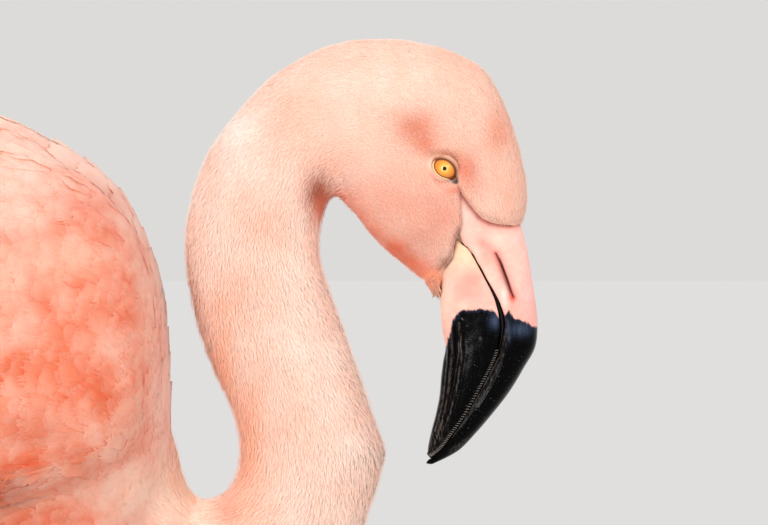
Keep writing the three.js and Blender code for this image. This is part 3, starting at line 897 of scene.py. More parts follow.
def hairsOn(name, where, coat, seed, growth):
    # loose barbs that stand off the neck a little
    rng = np.random.default_rng(seed)
    roots, normal, lie, run, turn = grownOn(rng, where, coat, seed, growth, 1.5, 0.25)
    lift = np.radians(rng.uniform(*coat["lift"], len(roots)))[:, None]
    way = lie * np.cos(lift) + normal * np.sin(lift)
    up = unit(normal * np.cos(lift) - lie * np.sin(lift))
    reach = coat["length"] * growth(run) * rng.uniform(0.7, 1.25, len(roots)) * mm
    half = coat["width"] / 2 * rng.uniform(0.7, 1.2, len(roots)) * mm
    tone = plumageTone(roots, run) * rng.uniform(0.95, 1.04, (len(roots), 1))
    # paler than the markings: painted glow of light through the loose barbs, less where the tone is deep
    # orange
    tone = blend(tone, np.array([1.0, 0.94, 0.89]), 0.36 * smoothStep(0.02, 0.4, tone[:, 2:]))
    hairPiece(name, roots + normal * 0.35 * mm, way, up, reach, half, palerTips(rng, tone), run, turn)


def inBand(low, high):
    return (triangleRegion == neckRegion) & (triangleRun >= low) & (triangleRun < high)


def neckGrowth(run):
    return np.interp(run, [40, headEndRun, 200, 330, 380, 420], [0.5, 0.62, 0.85, 1.05, 1.1, 0.9])


tuftsOn("coat_head", inBand(-1, headEndRun), headCoat, 11, np.ones_like)
tuftsOn("coat_neck_upper", inBand(headEndRun, 250), neckCoat, 12, neckGrowth)
tuftsOn("coat_neck_lower", inBand(250, neckBaseRun + 20), neckCoat, 13, neckGrowth)
hairsOn("coat_head_hairs", inBand(-1, headEndRun), headHairs, 14, neckGrowth)
hairsOn("coat_neck_hairs", inBand(headEndRun, neckBaseRun + 20), neckHairs, 15, neckGrowth)


# contour feathers: cupped vanes with frayed ends that follow the body

def vaneOutline(v):
    # half width of a vane along its length: narrow at the root, round at the end
    return np.interp(v, [0, 0.15, 0.4, 0.7, 0.84, 0.93, 0.98, 1.0],
                     [0.3, 0.55, 0.86, 1.0, 0.9, 0.66, 0.36, 0.12])


fringeFrom = 0.6   # the share of its length where a feather's frayed edge begins


def featherTemplate(along, columns, fringe):
    # points as (share along, share across, share of a barb's length), triangles; the fringe is a row of
    # slim points round the feather's end
    across = np.linspace(-1, 1, columns)
    spots = [(v, u, 0.0) for v in along for u in across]
    faces = []
    for r in range(len(along) - 1):
        for c in range(columns - 1):
            a = r * columns + c
            faces += [(a, a + 1, a + columns + 1), (a, a + columns + 1, a + columns)]
    v = np.linspace(fringeFrom, 1, 200)
    run = np.concatenate([[0], np.cumsum(np.hypot(np.diff(v) * 1.9, np.diff(vaneOutline(v)) * 0.5))])
    for i in range(fringe):
        places = np.clip(np.array([i - 0.45, i + 0.5, i + 1.45]) / fringe, 0, 1)
        near, at, far = np.interp(places * run[-1], run, v)
        reach = 0.8 + 0.2 * math.cos(i * 2.4)
        for sign in (1, -1):
            first = len(spots)
            spots += [(near, sign * 0.93, 0.0), (far, sign * 0.93, 0.0), (at, sign * 1.0, reach)]
            faces.append((first + 1, first, first + 2) if sign > 0 else (first, first + 1, first + 2))
    return np.array(spots), np.array(faces)


def walkedRachis(roots, normal, lie, length, steps, leave=6.0):
    # the feather's mid line laid along the skin: points, normals and headings at each step;
    # where the skin falls away by more than leave, in mm, it runs straight on
    place, up, go = roots.copy(), normal.copy(), lie.copy()
    track, ups, goes = [place.copy()], [up.copy()], [go.copy()]
    for _ in range(steps):
        ahead = place + go * (length / steps)[:, None]
        for i, p in enumerate(ahead):
            spot, n, _, far = skinTree.find_nearest(p)
            if far < leave * mm:
                ahead[i] = spot
                up[i] = n
        place = ahead
        up = unit(up)
        go = unit(go - up * (go * up).sum(axis=1, keepdims=True))
        track.append(place.copy())
        ups.append(up.copy())
        goes.append(go.copy())
    for _ in range(2):                                # the skin's facets are evened out
        ups[1:-1] = [unit(ups[i - 1] + ups[i] + ups[i + 1]) for i in range(1, len(ups) - 1)]
    return np.array(track), np.array(ups), np.array(goes)


def readTracks(walked, share):
    # place, normal, heading and side on each feather's mid line, at shares of its length
    steps, count = len(walked[0]) - 1, walked[0].shape[1]
    row = np.broadcast_to(np.clip(share, 0, 1) * steps, (count, share.shape[-1]))
    low = np.minimum(row.astype(int), steps - 1)
    f = (row - low)[..., None]
    which = np.arange(count)[:, None]
    place, up, go = (part[low, which] * (1 - f) + part[low + 1, which] * f for part in walked)
    up, go = unit(up), unit(go)
    return place, up, go, np.cross(go, up)


def vaneHeight(share, across, rise, width, cup):
    # how far a vane stands off the skin: more towards its end, and along the middle of its cup
    cupped = (cup * width)[:, None] * (1 - across ** 2) * 0.5 * share
    return rise[:, None] * (0.06 + 0.94 * share ** 1.3) + cupped


def vaneCoat(name, walked, length, width, rise, cup, tone, tipTone, run, turn, template, slot, seed,
             barbLength=0.12, softness=0.75, material=vaneMaterial, marked=False):
    # one mesh of feathers: length, width, rise and cup have a value for each; barbLength is a share of the
    # length, softness the share of the shading that comes from the skin
    rng = np.random.default_rng(seed)
    spots, faces = template
    v, u, fringe = spots[:, 0], spots[:, 1], spots[:, 2]
    outline = vaneOutline(v)
    base, up, go, side = readTracks(walked, v)
    half = (width / 2)[:, None] * outline[None] * np.abs(u)[None]
    height = vaneHeight(v[None], u[None], rise, width, cup)
    jitter = rng.normal(0, 1, (len(length), len(v)))
    fringeLength = fringe[None] * (barbLength + 0.05 * jitter) * length[:, None]
    out = np.sign(u)[None] * half + (u * outline)[None] * fringeLength * 0.45
    height = height - fringeLength * 0.06
    coords = base + side * out[..., None] + up * height[..., None] + go * fringeLength[..., None]
    count = len(length)
    shades = (up + side * (u[None] * (cup[:, None] * 1.2 + 0.25) * (1 - softness))[..., None]
              - go * ((1 - softness) * 0.5 * rise / length)[:, None, None])
    allFaces = (np.arange(count)[:, None, None] * len(spots) + faces[None]).reshape(-1, 3)
    share = v[None, :, None]
    if marked:                                        # the markings run on from feather to feather
        spread = plumageTone(coords.reshape(-1, 3), np.repeat(run, len(v))).reshape(count, len(v), 3)
        tones = blend(spread, tipTone[:, None], smoothStep(0.72, 1.0, share) * 0.3)
        # towards the root each feather takes its own rosier tint, deepened there as painted shade where the
        # next feather lies over it
        tones = blend(tones, tones * tone[:, None], smoothStep(0.9, 0.5, share))
    else:
        paler = smoothStep(0.45, 1.0, share) * 0.85 + smoothStep(0.5, 1.0, np.abs(u))[None, :, None] * 0.35
        tones = blend(tone[:, None], tipTone[:, None], np.clip(paler, 0, 1))
    flat = np.stack([u * 0.5, np.clip(v, 0, 1) - 0.5 + fringe * 0.04], axis=1) * bakePatch
    uv = (bakeSpot(run, turn)[:, None, None, :] + flat[faces][None]).reshape(-1, 2)
    vane = np.stack([u, v + fringe * 0.1 - np.abs(u) * 0.35], axis=1)
    vaneUv = np.broadcast_to(vane[faces][None], (count, len(faces), 3, 2)).reshape(-1, 2)
    piece = makePiece(name, coords.reshape(-1, 3), allFaces, material, tones.reshape(-1, 3),
                      {"OFBake": uv, "Vane": vaneUv}, normals=shades.reshape(-1, 3))
    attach(piece, "root")
    print(name, "ready:", count, "feathers,", len(allFaces), "triangles")
    return piece


softFeather = featherTemplate((0, 0.3, 0.6, 0.8, 0.92, 1.0), 5, 11)
bodyCoat = {"spacing": 6.0, "length": 25, "width": 15, "rise": 1.0, "cup": 0.04, "rearEnd": -302,
            "leave": 5.0}
hairs = {"count": 12, "from": 0.5, "to": 1.0, "reach": (6.5, 4.5), "width": 0.32, "above": 0.12}
rosier = np.array([1.0, 0.80, 0.68])   # the most that a feather's own tone differs from the markings


def hairCoat(name, walked, width, rise, cup, shade, run, turn, seed):
    # loose hair-fine barbs lying on every feather
    rng = np.random.default_rng(seed)
    count, each = len(width), hairs["count"]
    share = rng.uniform(hairs["from"], hairs["to"], (count, each))
    off = rng.uniform(-0.8, 0.8, (count, each))
    base, up, go, side = readTracks(walked, share)
    height = vaneHeight(share, off, rise, width, cup)
    height += hairs["above"] * mm * rng.uniform(0.5, 1.5, (count, each))
    root = base + side * (off * vaneOutline(share) * width[:, None] / 2)[..., None] + up * height[..., None]
    splay = np.radians(20) * off + rng.normal(0, 0.09, (count, each))
    way = go * np.cos(splay)[..., None] + side * np.sin(splay)[..., None]
    reach = blend(hairs["reach"][0], hairs["reach"][1], share) * rng.uniform(0.7, 1.2, (count, each)) * mm
    reach *= (width / (bodyCoat["width"] * mm))[:, None]
    half = hairs["width"] * mm * rng.uniform(0.4, 0.62, (count, each))
    whole = count * each
    tone = plumageTone(root.reshape(-1, 3), np.repeat(run, each))
    tone = blend(tone, tone * np.repeat(shade, each, axis=0), 0.5) * rng.uniform(0.90, 1.06, (whole, 1))
    hairPiece(name, root.reshape(-1, 3), way.reshape(-1, 3), up.reshape(-1, 3), reach.ravel(), half.ravel(),
              palerTips(rng, tone), np.repeat(run, each), np.repeat(turn, each))


def bodyGrowth(place):
    # size of the feathers against the coat's own, by place
    x, z = sideView(place)
    size = np.interp(x, [-300, -150, 40, 110, 128, 150, 175], [1.5, 1.4, 1.05, 0.85, 0.62, 0.45, 0.4])
    return size * np.interp(z, [360, 410, 450], [0.5, 0.75, 1.0])


def feathersOn(name, where, coat, seed, slot):
    # contour feathers on the body or the wing, and the hairs on them
    rng = np.random.default_rng(seed)
    roots, normal, kind = rootsOn(coat["spacing"] * mm * bodyGrowth(triangleMiddle), where, seed, tight=0.8)
    run, heading, turn = onSpine(roots, kind)
    lie = swayed(rng, lieOf(roots, normal, heading, run), normal, 0.14)
    grown = bodyGrowth(roots) * rng.uniform(0.85, 1.15, len(roots))
    length, width = coat["length"] * grown * mm, coat["width"] * grown * mm
    rearEnd = coat["rearEnd"] + np.random.default_rng(seed + 7).uniform(0, 24, len(roots))
    length = np.minimum(length, np.maximum(roots[:, 0] - rearEnd * mm, 8 * mm))      # none passes the tail
    rise = coat["rise"] * mm * np.clip(grown, 0.35, 1.15) * rng.uniform(0.7, 1.2, len(roots))
    x, z = sideView(roots)
    rise = rise * (1 - 0.5 * smoothStep(590, 630, z))                                # flatter on the back
    # the tones vary less on breast and back
    even = np.maximum(smoothStep(105, 125, x), 0.6 * smoothStep(585, 620, z))
    vary = rng.uniform(0.1, 0.9, len(roots)) * (1 - 0.75 * even)
    shade = washed(np.ones(3), rosier, vary)
    tipTone = np.tile(colour(plumageTones["tip"]), (len(roots), 1))
    cup = np.full(len(roots), coat["cup"])
    walked = walkedRachis(roots, normal, lie, length, 4, coat["leave"])
    loose = np.array([skinTree.find_nearest(p)[3] > 3 * mm for p in walked[0][-1]]) & (roots[:, 0] < -0.09)
    length = length * np.where(loose, 0.5, 1)                                       # none sticks out behind
    walked = walkedRachis(roots, normal, lie, length, 4, coat["leave"])
    vaneCoat(name, walked, length, width, rise, cup, shade, tipTone, run, turn, softFeather, slot, seed,
             marked=True)
    hairCoat(name + "_hairs", walked, width, rise, cup, shade, run, turn, seed + 100)


onBody = (triangleRegion == bodyRegion) | inBand(neckBaseRun - 25, spineTotal + 1)
onBody &= triangleMiddle[:, 0] > -0.262
feathersOn("coat_body", onBody, bodyCoat, 21, "plumage")

wingCoat = {"spacing": 7.0, "length": 29, "width": 18, "rise": 1.2, "cup": 0.05, "rearEnd": -300,
            "leave": 2.2}
onWing = (triangleRegion == wingRegion) & (triangleMiddle[:, 0] > -0.27)
feathersOn("coat_wing", onWing, wingCoat, 22, "wing_plumage")


# long feathers: tertials over the wing's end, black flight feathers under it, and the tail

def laidFrom(spots, aims):
    # roots on the skin next to each spot, with the normal there and the way to its aim; all in mm
    roots, normals, lies = [], [], []
    for spot, aim in zip(spots, aims):
        root, normal, _, _ = skinTree.find_nearest(np.array(spot) * mm)
        root, normal = np.array(root), np.array(normal)
        way = np.array(aim) * mm - root
        roots.append(root)
        normals.append(normal)
        lies.append(unit(way - normal * (way @ normal)))
    return np.array(roots), np.array(normals), np.array(lies)


def laidTracks(lines, slants):
    # feathers laid along given lines in mm: their points, normals and headings, and their lengths in metres
    track = np.array(lines).transpose(1, 0, 2) * mm
    goes = unit(np.gradient(track, axis=0))
    ups = np.broadcast_to(unit(np.array(slants, float)), track.shape)
    ups = unit(ups - goes * (ups * goes).sum(axis=2, keepdims=True))
    return (track, ups, goes), np.array([np.linalg.norm(line[-1] - line[0]) for line in lines]) * mm


def longCoat(name, walked, lengths, shape, rise, tone, region, slot, seed, **looks):
    # long vanes of one width; rise in mm and tone are one value or one for each feather
    count = len(lengths)
    run, _, turn = onSpine(walked[0][0], np.full(count, region))
    return vaneCoat(name, walked, lengths, np.full(count, shape["width"] * mm), np.full(count, rise * mm),
                    np.full(count, shape["cup"]), np.broadcast_to(tone, (count, 3)),
                    np.tile(colour(shape["tip"]), (count, 1)), run, turn, longFeather, slot, seed, **looks)


longFeather = featherTemplate((0, 0.1, 0.2, 0.3, 0.4, 0.5, 0.6, 0.7, 0.8, 0.88, 0.95, 1.0), 7, 14)
tertials = {"count": 15, "length": (95, 150), "width": 27, "rise": 3.2, "cup": 0.15, "tip": "fdd3c0"}
spots, aims, lengths = [], [], []
for i in range(tertials["count"]):
    s = i / (tertials["count"] - 1)
    for layer in (0, 1):
        for sign in (1, -1):
            x = -40 - 165 * s - 14 * layer
            z = 588 - 34 * s - (16 + 26 * (1 - s)) * layer
            spots.append((x, sign * (88 - 58 * s), z))
            aims.append((-330, sign * 9, 537))
            lengths.append(blend(tertials["length"][1], tertials["length"][0], s) * (1 - 0.1 * layer))
            lengths[-1] = min(lengths[-1], (x + 301) * (0.98 - 0.06 * layer - 0.05 * (i % 3)))
lengths = np.array(lengths) * mm
rng = np.random.default_rng(61)
tone = blend(np.ones(3), rosier, rng.uniform(0, 1, (len(spots), 1)))
walked = walkedRachis(*laidFrom(spots, aims), lengths, 10)
longCoat("tertials", walked, lengths, tertials, tertials["rise"], tone, wingRegion, "wing_plumage", 62,
         barbLength=0.02, softness=0.2, marked=True)


mantle = {  # feathers over the front edge of the body, from the shoulders down to the neck
    "edge": [(60, 641), (91.6, 624), (108.8, 608), (125, 579), (132.5, 556), (134.4, 537), (134.5, 515),
             (134, 495), (137, 478)],
    "tips": 8, "rows": 5, "apart": 12, "length": 36, "width": 23, "cup": 0.10, "tip": "fff3e8",
}
edgeLine = curveThrough(mantle["edge"])(np.linspace(0, len(mantle["edge"]) - 1, 400))
edgeRun = np.concatenate([[0], np.cumsum(np.linalg.norm(np.diff(edgeLine, axis=0), axis=1))])
spots, aims = [], []
for row in range(mantle["rows"]):
    across = (row - (mantle["rows"] - 1) / 2) * mantle["apart"]
    for i in range(mantle["tips"]):
        tip = 26 + 20 * i + (10 if row % 2 else 0)
        root = tip + mantle["length"] * 0.92
        ends = [np.interp([root, tip], edgeRun, edgeLine[:, c]) for c in (0, 1)]
        if root < edgeRun[-1]:
            spots.append((ends[0][0], across, ends[1][0]))
            aims.append((ends[0][1], across, ends[1][1]))
roots, normal, lie = laidFrom(spots, aims)
rng = np.random.default_rng(65)
lengths = mantle["length"] * rng.uniform(0.9, 1.1, len(roots)) * mm
rise = np.interp(roots[:, 2] / mm, [520, 570], [1.0, 1.5])
walked = walkedRachis(roots, normal, lie, lengths, 8)
longCoat("mantle", walked, lengths, mantle, rise, np.ones(3), bodyRegion, "plumage", 66, barbLength=0.05,
         softness=0.8, marked=True)

# the black bundle under the wing's end
flightSections = [  # x, centre z, half height, centre y, half thickness
    (-120, 482, 12, 44, 10), (-170, 500, 14, 34, 9), (-220, 515, 13, 24, 8), (-265, 523, 10, 16, 6),
    (-293, 527, 5, 10, 3.5), (-305, 528, 2, 9, 1.5),
]
tailSections = [  # x, centre z, half thickness, half width
    (-195, 528, 20, 34), (-225, 520, 15, 34), (-260, 512, 8, 31), (-285, 507, 4.5, 26), (-298, 505, 2, 15),
]
flightShape = {"count": 8, "width": 19, "rise": 1.0, "cup": 0.10, "tone": "141216", "tip": "26222a"}
flightFinish = {"roughness": 0.5, "speckle": 900, "speckleDepth": 0.2, "mottle": 70, "mottleDepth": 0.05,
                "ribs": 0.8}
flightMaterial = plumageMaterial("flight", flightFinish, barbs=9.0)
laidSteps = 10   # along each feather of the bundle and the tail
for sideName, sign in (("left", 1), ("right", -1)):
    lines, slants = [], []
    for i in range(flightShape["count"]):
        s = i / (flightShape["count"] - 1)
        share = np.linspace(0.02, blend(0.98, 0.70, s), laidSteps + 1)
        at = curveThrough(flightSections)(share * (len(flightSections) - 1))
        angle = blend(math.radians(-70), math.radians(55), s)
        out, up = math.cos(angle) * 0.55 - 0.1 * s, math.sin(angle) * 0.55
        y, z = sign * (at[:, 3] + at[:, 4] * out), at[:, 1] + at[:, 2] * up
        lines.append(np.stack([at[:, 0], y, z], axis=1))
        slants.append([0, sign, 0.25 - 0.5 * (1 - s)])
    walked, lengths = laidTracks(lines, slants)
    piece = longCoat("flight_feathers_" + sideName, walked, lengths, flightShape, flightShape["rise"],
                     colour(flightShape["tone"]), wingRegion, "flight_feathers", 63, barbLength=0.004,
                     softness=0.3, material=flightMaterial)
    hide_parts("flight_" + sideName)

tailShape = {"count": 12, "width": 20, "rise": 1.0, "cup": 0.10, "tone": "f5ab92", "tip": "fbc8b4"}
lines, slants = [], []
for i in range(tailShape["count"]):
    s = 2 * i / (tailShape["count"] - 1) - 1
    share = np.linspace(0.0, 1 - 0.12 * abs(s), laidSteps + 1)
    at = curveThrough(tailSections)(share * (len(tailSections) - 1))
    fan = np.minimum(at[:, 3], 30) * s * 0.85
    lines.append(np.stack([at[:, 0], fan, at[:, 1] + at[:, 2] * (0.75 - 0.3 * abs(s))], axis=1))
    slants.append([0, 0.25 * s, 1])
walked, lengths = laidTracks(lines, slants)
longCoat("tail_feathers", walked, lengths, tailShape, tailShape["rise"], colour(tailShape["tone"]),
         bodyRegion, "plumage", 64, barbLength=0.03, softness=0.35)
print("long feathers ready")


# bill: two horn mandibles lofted from their sections, the upper one running on as the bare face

billShape = {
    # culmen x, z, gape x, z, half width, from the brow to the tip
    "upper": [
        (282.5, 623, 262.3, 607, 18.5), (288.5, 615, 264, 600, 17.2), (294, 604, 266.5, 591.5, 15.5),
        (297, 592, 270, 581, 14), (300.5, 578, 274, 577, 14.5), (302.7, 564, 281, 564.5, 14.7),
        (304.6, 552, 286.5, 553.5, 14.8), (305.3, 541.5, 288.8, 543, 14.8), (304, 532, 287, 531.2, 14.5),
        (299, 523, 282.7, 521.5, 13.8), (292.5, 512.2, 277.6, 511.7, 12.8), (285, 502.4, 271.6, 501, 11.5),
        (276.7, 492.7, 265.5, 492.2, 9.8), (268.3, 484.3, 260.6, 485.6, 7.2),
        (257.6, 478.7, 256.6, 481.6, 3.7), (255.2, 478.2, 254.9, 480.9, 2.3),
        (253.6, 478.5, 253.7, 479.6, 1.0),
    ],
    # gape x, z, keel x, z, half width, from under the cheek to the tip
    "lower": [
        (266.5, 585, 254, 574, 13), (270, 581, 259.5, 566, 13.5), (274, 577, 260, 557, 14.3),
        (281, 564.5, 260.4, 547.5, 14.4), (286.5, 553.5, 261.3, 539.5, 14.4),
        (288.8, 543, 262.5, 532.5, 14.3), (287, 531.2, 261.3, 525.7, 13.9),
        (282.7, 521.5, 260.4, 518.2, 13.2), (277.6, 511.7, 259.7, 510.3, 12.2),
        (271.6, 501, 258.1, 502, 10.9), (265.5, 492.2, 256, 494, 9.2), (260.6, 485.6, 254.6, 487.5, 6.7),
        (256.6, 482.2, 254.2, 484.2, 3.6), (255.0, 481.5, 253.8, 482.9, 2.4),
    ],
    "steps": 250, "sides": 44,      # along the bill, and from the middle line to the edge
    "squareness": 0.72,
    "faceRows": 3,                  # upper rows that are bare face
    "faceDepth": 1.9,               # how far the bare face lies inside the head's solid
}
blackOutline = [  # the black part in the side view
    (255.3, 530.3), (263.2, 533.1), (264.6, 540.6), (265.5, 544.3), (268.3, 548.5), (270.6, 549.9),
    (278.5, 550.3), (283.2, 549.9), (285.5, 548.5), (287.8, 546.1), (291.6, 549.4), (293.4, 546.6),
    (296.2, 545.7), (299.0, 544.7), (301.8, 542.4), (308.8, 541.0), (315.7, 470.8), (241.3, 470.8),
    (241.3, 530.3),
]
upperLip = [(289.6, 546), (289.4, 538), (286.5, 528), (281.5, 518), (275.5, 507.5), (268.5, 496),
            (260.5, 486.5)]
upperBack = [(306, 536), (302, 527), (294, 515), (285, 502.5), (276, 492), (265, 484)]
cheekEdge = [(269.6, 590), (267.5, 584.4), (266, 578), (264.6, 573.3), (261.6, 569.6), (259.8, 566.8)]
faceCrease = [(267.2, 608.2), (269.6, 603.4), (273.3, 599), (277.9, 593), (282.6, 590.4), (292.3, 588.9),
              (300, 590.8)]
nostrilLine = [(279.5, 580.8), (283.4, 579.2), (286.2, 575.6), (288.6, 569.6), (291.0, 562.4), (293.6, 555.4)]
nostrilSlit = [(285.6, 576.2), (287.2, 572.8), (288.7, 568.9), (290.2, 564.7), (292.0, 559.6), (293.4, 555.8)]
upperGroove = [(293.4, 556), (290.4, 547), (289.6, 536), (288.6, 524), (284, 514), (278, 504)]
upperRidge = [(290.6, 548), (291.6, 538), (288, 526), (281.5, 514), (274, 502.5), (266, 492)]
lowerRidges = [
    [(264.5, 545), (265.5, 530), (264, 515), (261.5, 500), (257.5, 488)],
    [(268.5, 544), (270, 530), (268, 516), (264.5, 502), (259.5, 490)],
    [(262, 540), (262.6, 525), (261, 508), (257.6, 494)],
]
billTones = coloursOf({
    "face": "f1c7b8", "pink": "f8c2b3", "rose": "f09a8e", "yellow": "f8d9b4", "cream": "fad6c6",
    "grey": "e2d0c4", "nostril": "c4483c", "creaseShadow": "64281a", "shadow": "6b3626", "mouthShade": "150908",
    "pinkSpeck": "b0635a", "horn": "020203", "brown": "3a3431", "slate": "2c3446", "blueSheen": "48556e",
    "glint": "857b73", "glintSpeck": "8f8a86",
})

billPatches = {  # place, reach, tone, strength
    "upper": [
        ((281.4, 575.5), (3.5, 4.5), "f29a8b", 0.5), ((301.5, 560), (4.5, 15), "f0b9b6", 0.6),
        # the two pale spots on the next line are painted highlights
        ((286, 582), (4, 4), "ffe0d2", 0.35), ((289.5, 557), (1.8, 6), "fff0e6", 0.6),
        ((277, 571), (1.6, 9), "fde0cc", 0.35), ((296, 583), (6, 5), "f6c3bc", 0.5),
        ((293.4, 555.5), (1.3, 2.5), "ee7468", 0.8),
    ],
    "lower": [
        ((275.2, 564), (4.5, 5), "f2907f", 0.45), ((262, 556), (4, 12), "fcdcc8", 0.6),
        ((270, 552), (3, 3), "fbd5c2", 0.5), ((281, 553), (2.5, 3), "f5b3a6", 0.4),
    ],
}

hornMaterial, hornTree, hornShader = newMaterial("horn", Coat_Weight=0.0,
                                                 Subsurface_Weight=0.06, Subsurface_Radius=(1, 0.4, 0.3),
                                                 Subsurface_Scale=0.002, Specular_IOR_Level=0.05)


def hornShare(name):
    return addNode(hornTree, "ShaderNodeAttribute", attribute_name=name).outputs["Fac"]


def hornRamp(value, low, dark, high, light):
    # a grey that is dark up to the value low and light from the value high
    return rampOf(hornTree, value, [(low, grey(dark)), (high, grey(light))])


def hornMix(share, a, b):
    return mixOf(hornTree, "MIX", share, a, b)


ragged = addNode(hornTree, "ShaderNodeMath", operation="MULTIPLY_ADD")
hornTree.links.new(noiseOf(hornTree, 420, 4.0, 0.6, (1, 1, 0.5)), ragged.inputs[0])
ragged.inputs[1].default_value = 0.30
hornTree.links.new(hornShare("tip"), ragged.inputs[2])
blackShare = hornRamp(ragged.outputs[0], 0.60, 0, 0.68, 1)
# slate: the horn's own blue-grey where the black begins, with painted sheen on it
slateShare = hornRamp(ragged.outputs[0], 0.63, 1, 0.82, 0)
streaks = noiseOf(hornTree, 260, 5.0, 0.62, (3.2, 1, 0.35))
# spots that break up the painted glints along the ridges
glintBreakup = hornRamp(noiseOf(hornTree, 900, 4.0, 0.65, (1, 1, 0.35)), 0.45, 0.03, 0.64, 0.6)
blackTone = billTones["horn"]
# laid over the black: faint streaks and fine specks that are painted glints, the slate, blue spots of painted
# sheen, and the painted glints along the ridges
for share, tint in (
        (hornRamp(streaks, 0.60, 0, 0.86, 0.06), "brown"),
        (darkened(hornTree, slateShare, streaks, 0.35, 0.7, 0.25), "slate"),
        (darkened(hornTree, hornShare("blueSheen"), streaks, 0.3, 0.6, 0.5), "blueSheen"),
        (multiplied(hornTree, hornShare("ridgeGlint"), glintBreakup), "glint"),
        (hornRamp(noiseOf(hornTree, 1500, 2.0), 0.70, 0, 0.76, 0.4), "glintSpeck")):
    blackTone = hornMix(share, blackTone, billTones[tint])
pinkMottle = rampOf(hornTree, noiseOf(hornTree, 330, 4.0, 0.6), [(0.3, (1.0, 0.88, 0.85)), (0.65, grey(1))])
pinkTone = multiplied(hornTree, paintedTone(hornTree), pinkMottle)
pinkSpecks = hornRamp(noiseOf(hornTree, 1100, 2.0), 0.27, 0.35, 0.33, 0)
pinkTone = hornMix(pinkSpecks, pinkTone, billTones["pinkSpeck"])
hornTree.links.new(hornMix(blackShare, pinkTone, blackTone), hornShader.inputs["Base Color"])
blackGloss = hornRamp(streaks, 0.4, 0.12, 0.7, 0.25)
hornTree.links.new(hornMix(blackShare, grey(0.42), blackGloss), hornShader.inputs["Roughness"])
bumpOf(hornTree, hornShader, hornMix(0.5, streaks, noiseOf(hornTree, 1300, 2.0)), 0.30, 0.35)

headTree = treeOf(["head"])


def billGap(z):
    # half the width of the slit between the mandibles: open in front of the corner, close at the tip
    return 0.22 + 0.75 * fade(z - 545, 12) + 0.25 * smoothStep(560, 545, z) + 0.24 * smoothStep(528, 552, z)


def patched(tone, x, z, patches):
    # soft spots laid over the tone
    for place, reach, code, amount in patches:
        tone = washed(tone, colour(code), amount * around(x, z, place, reach))
    return tone


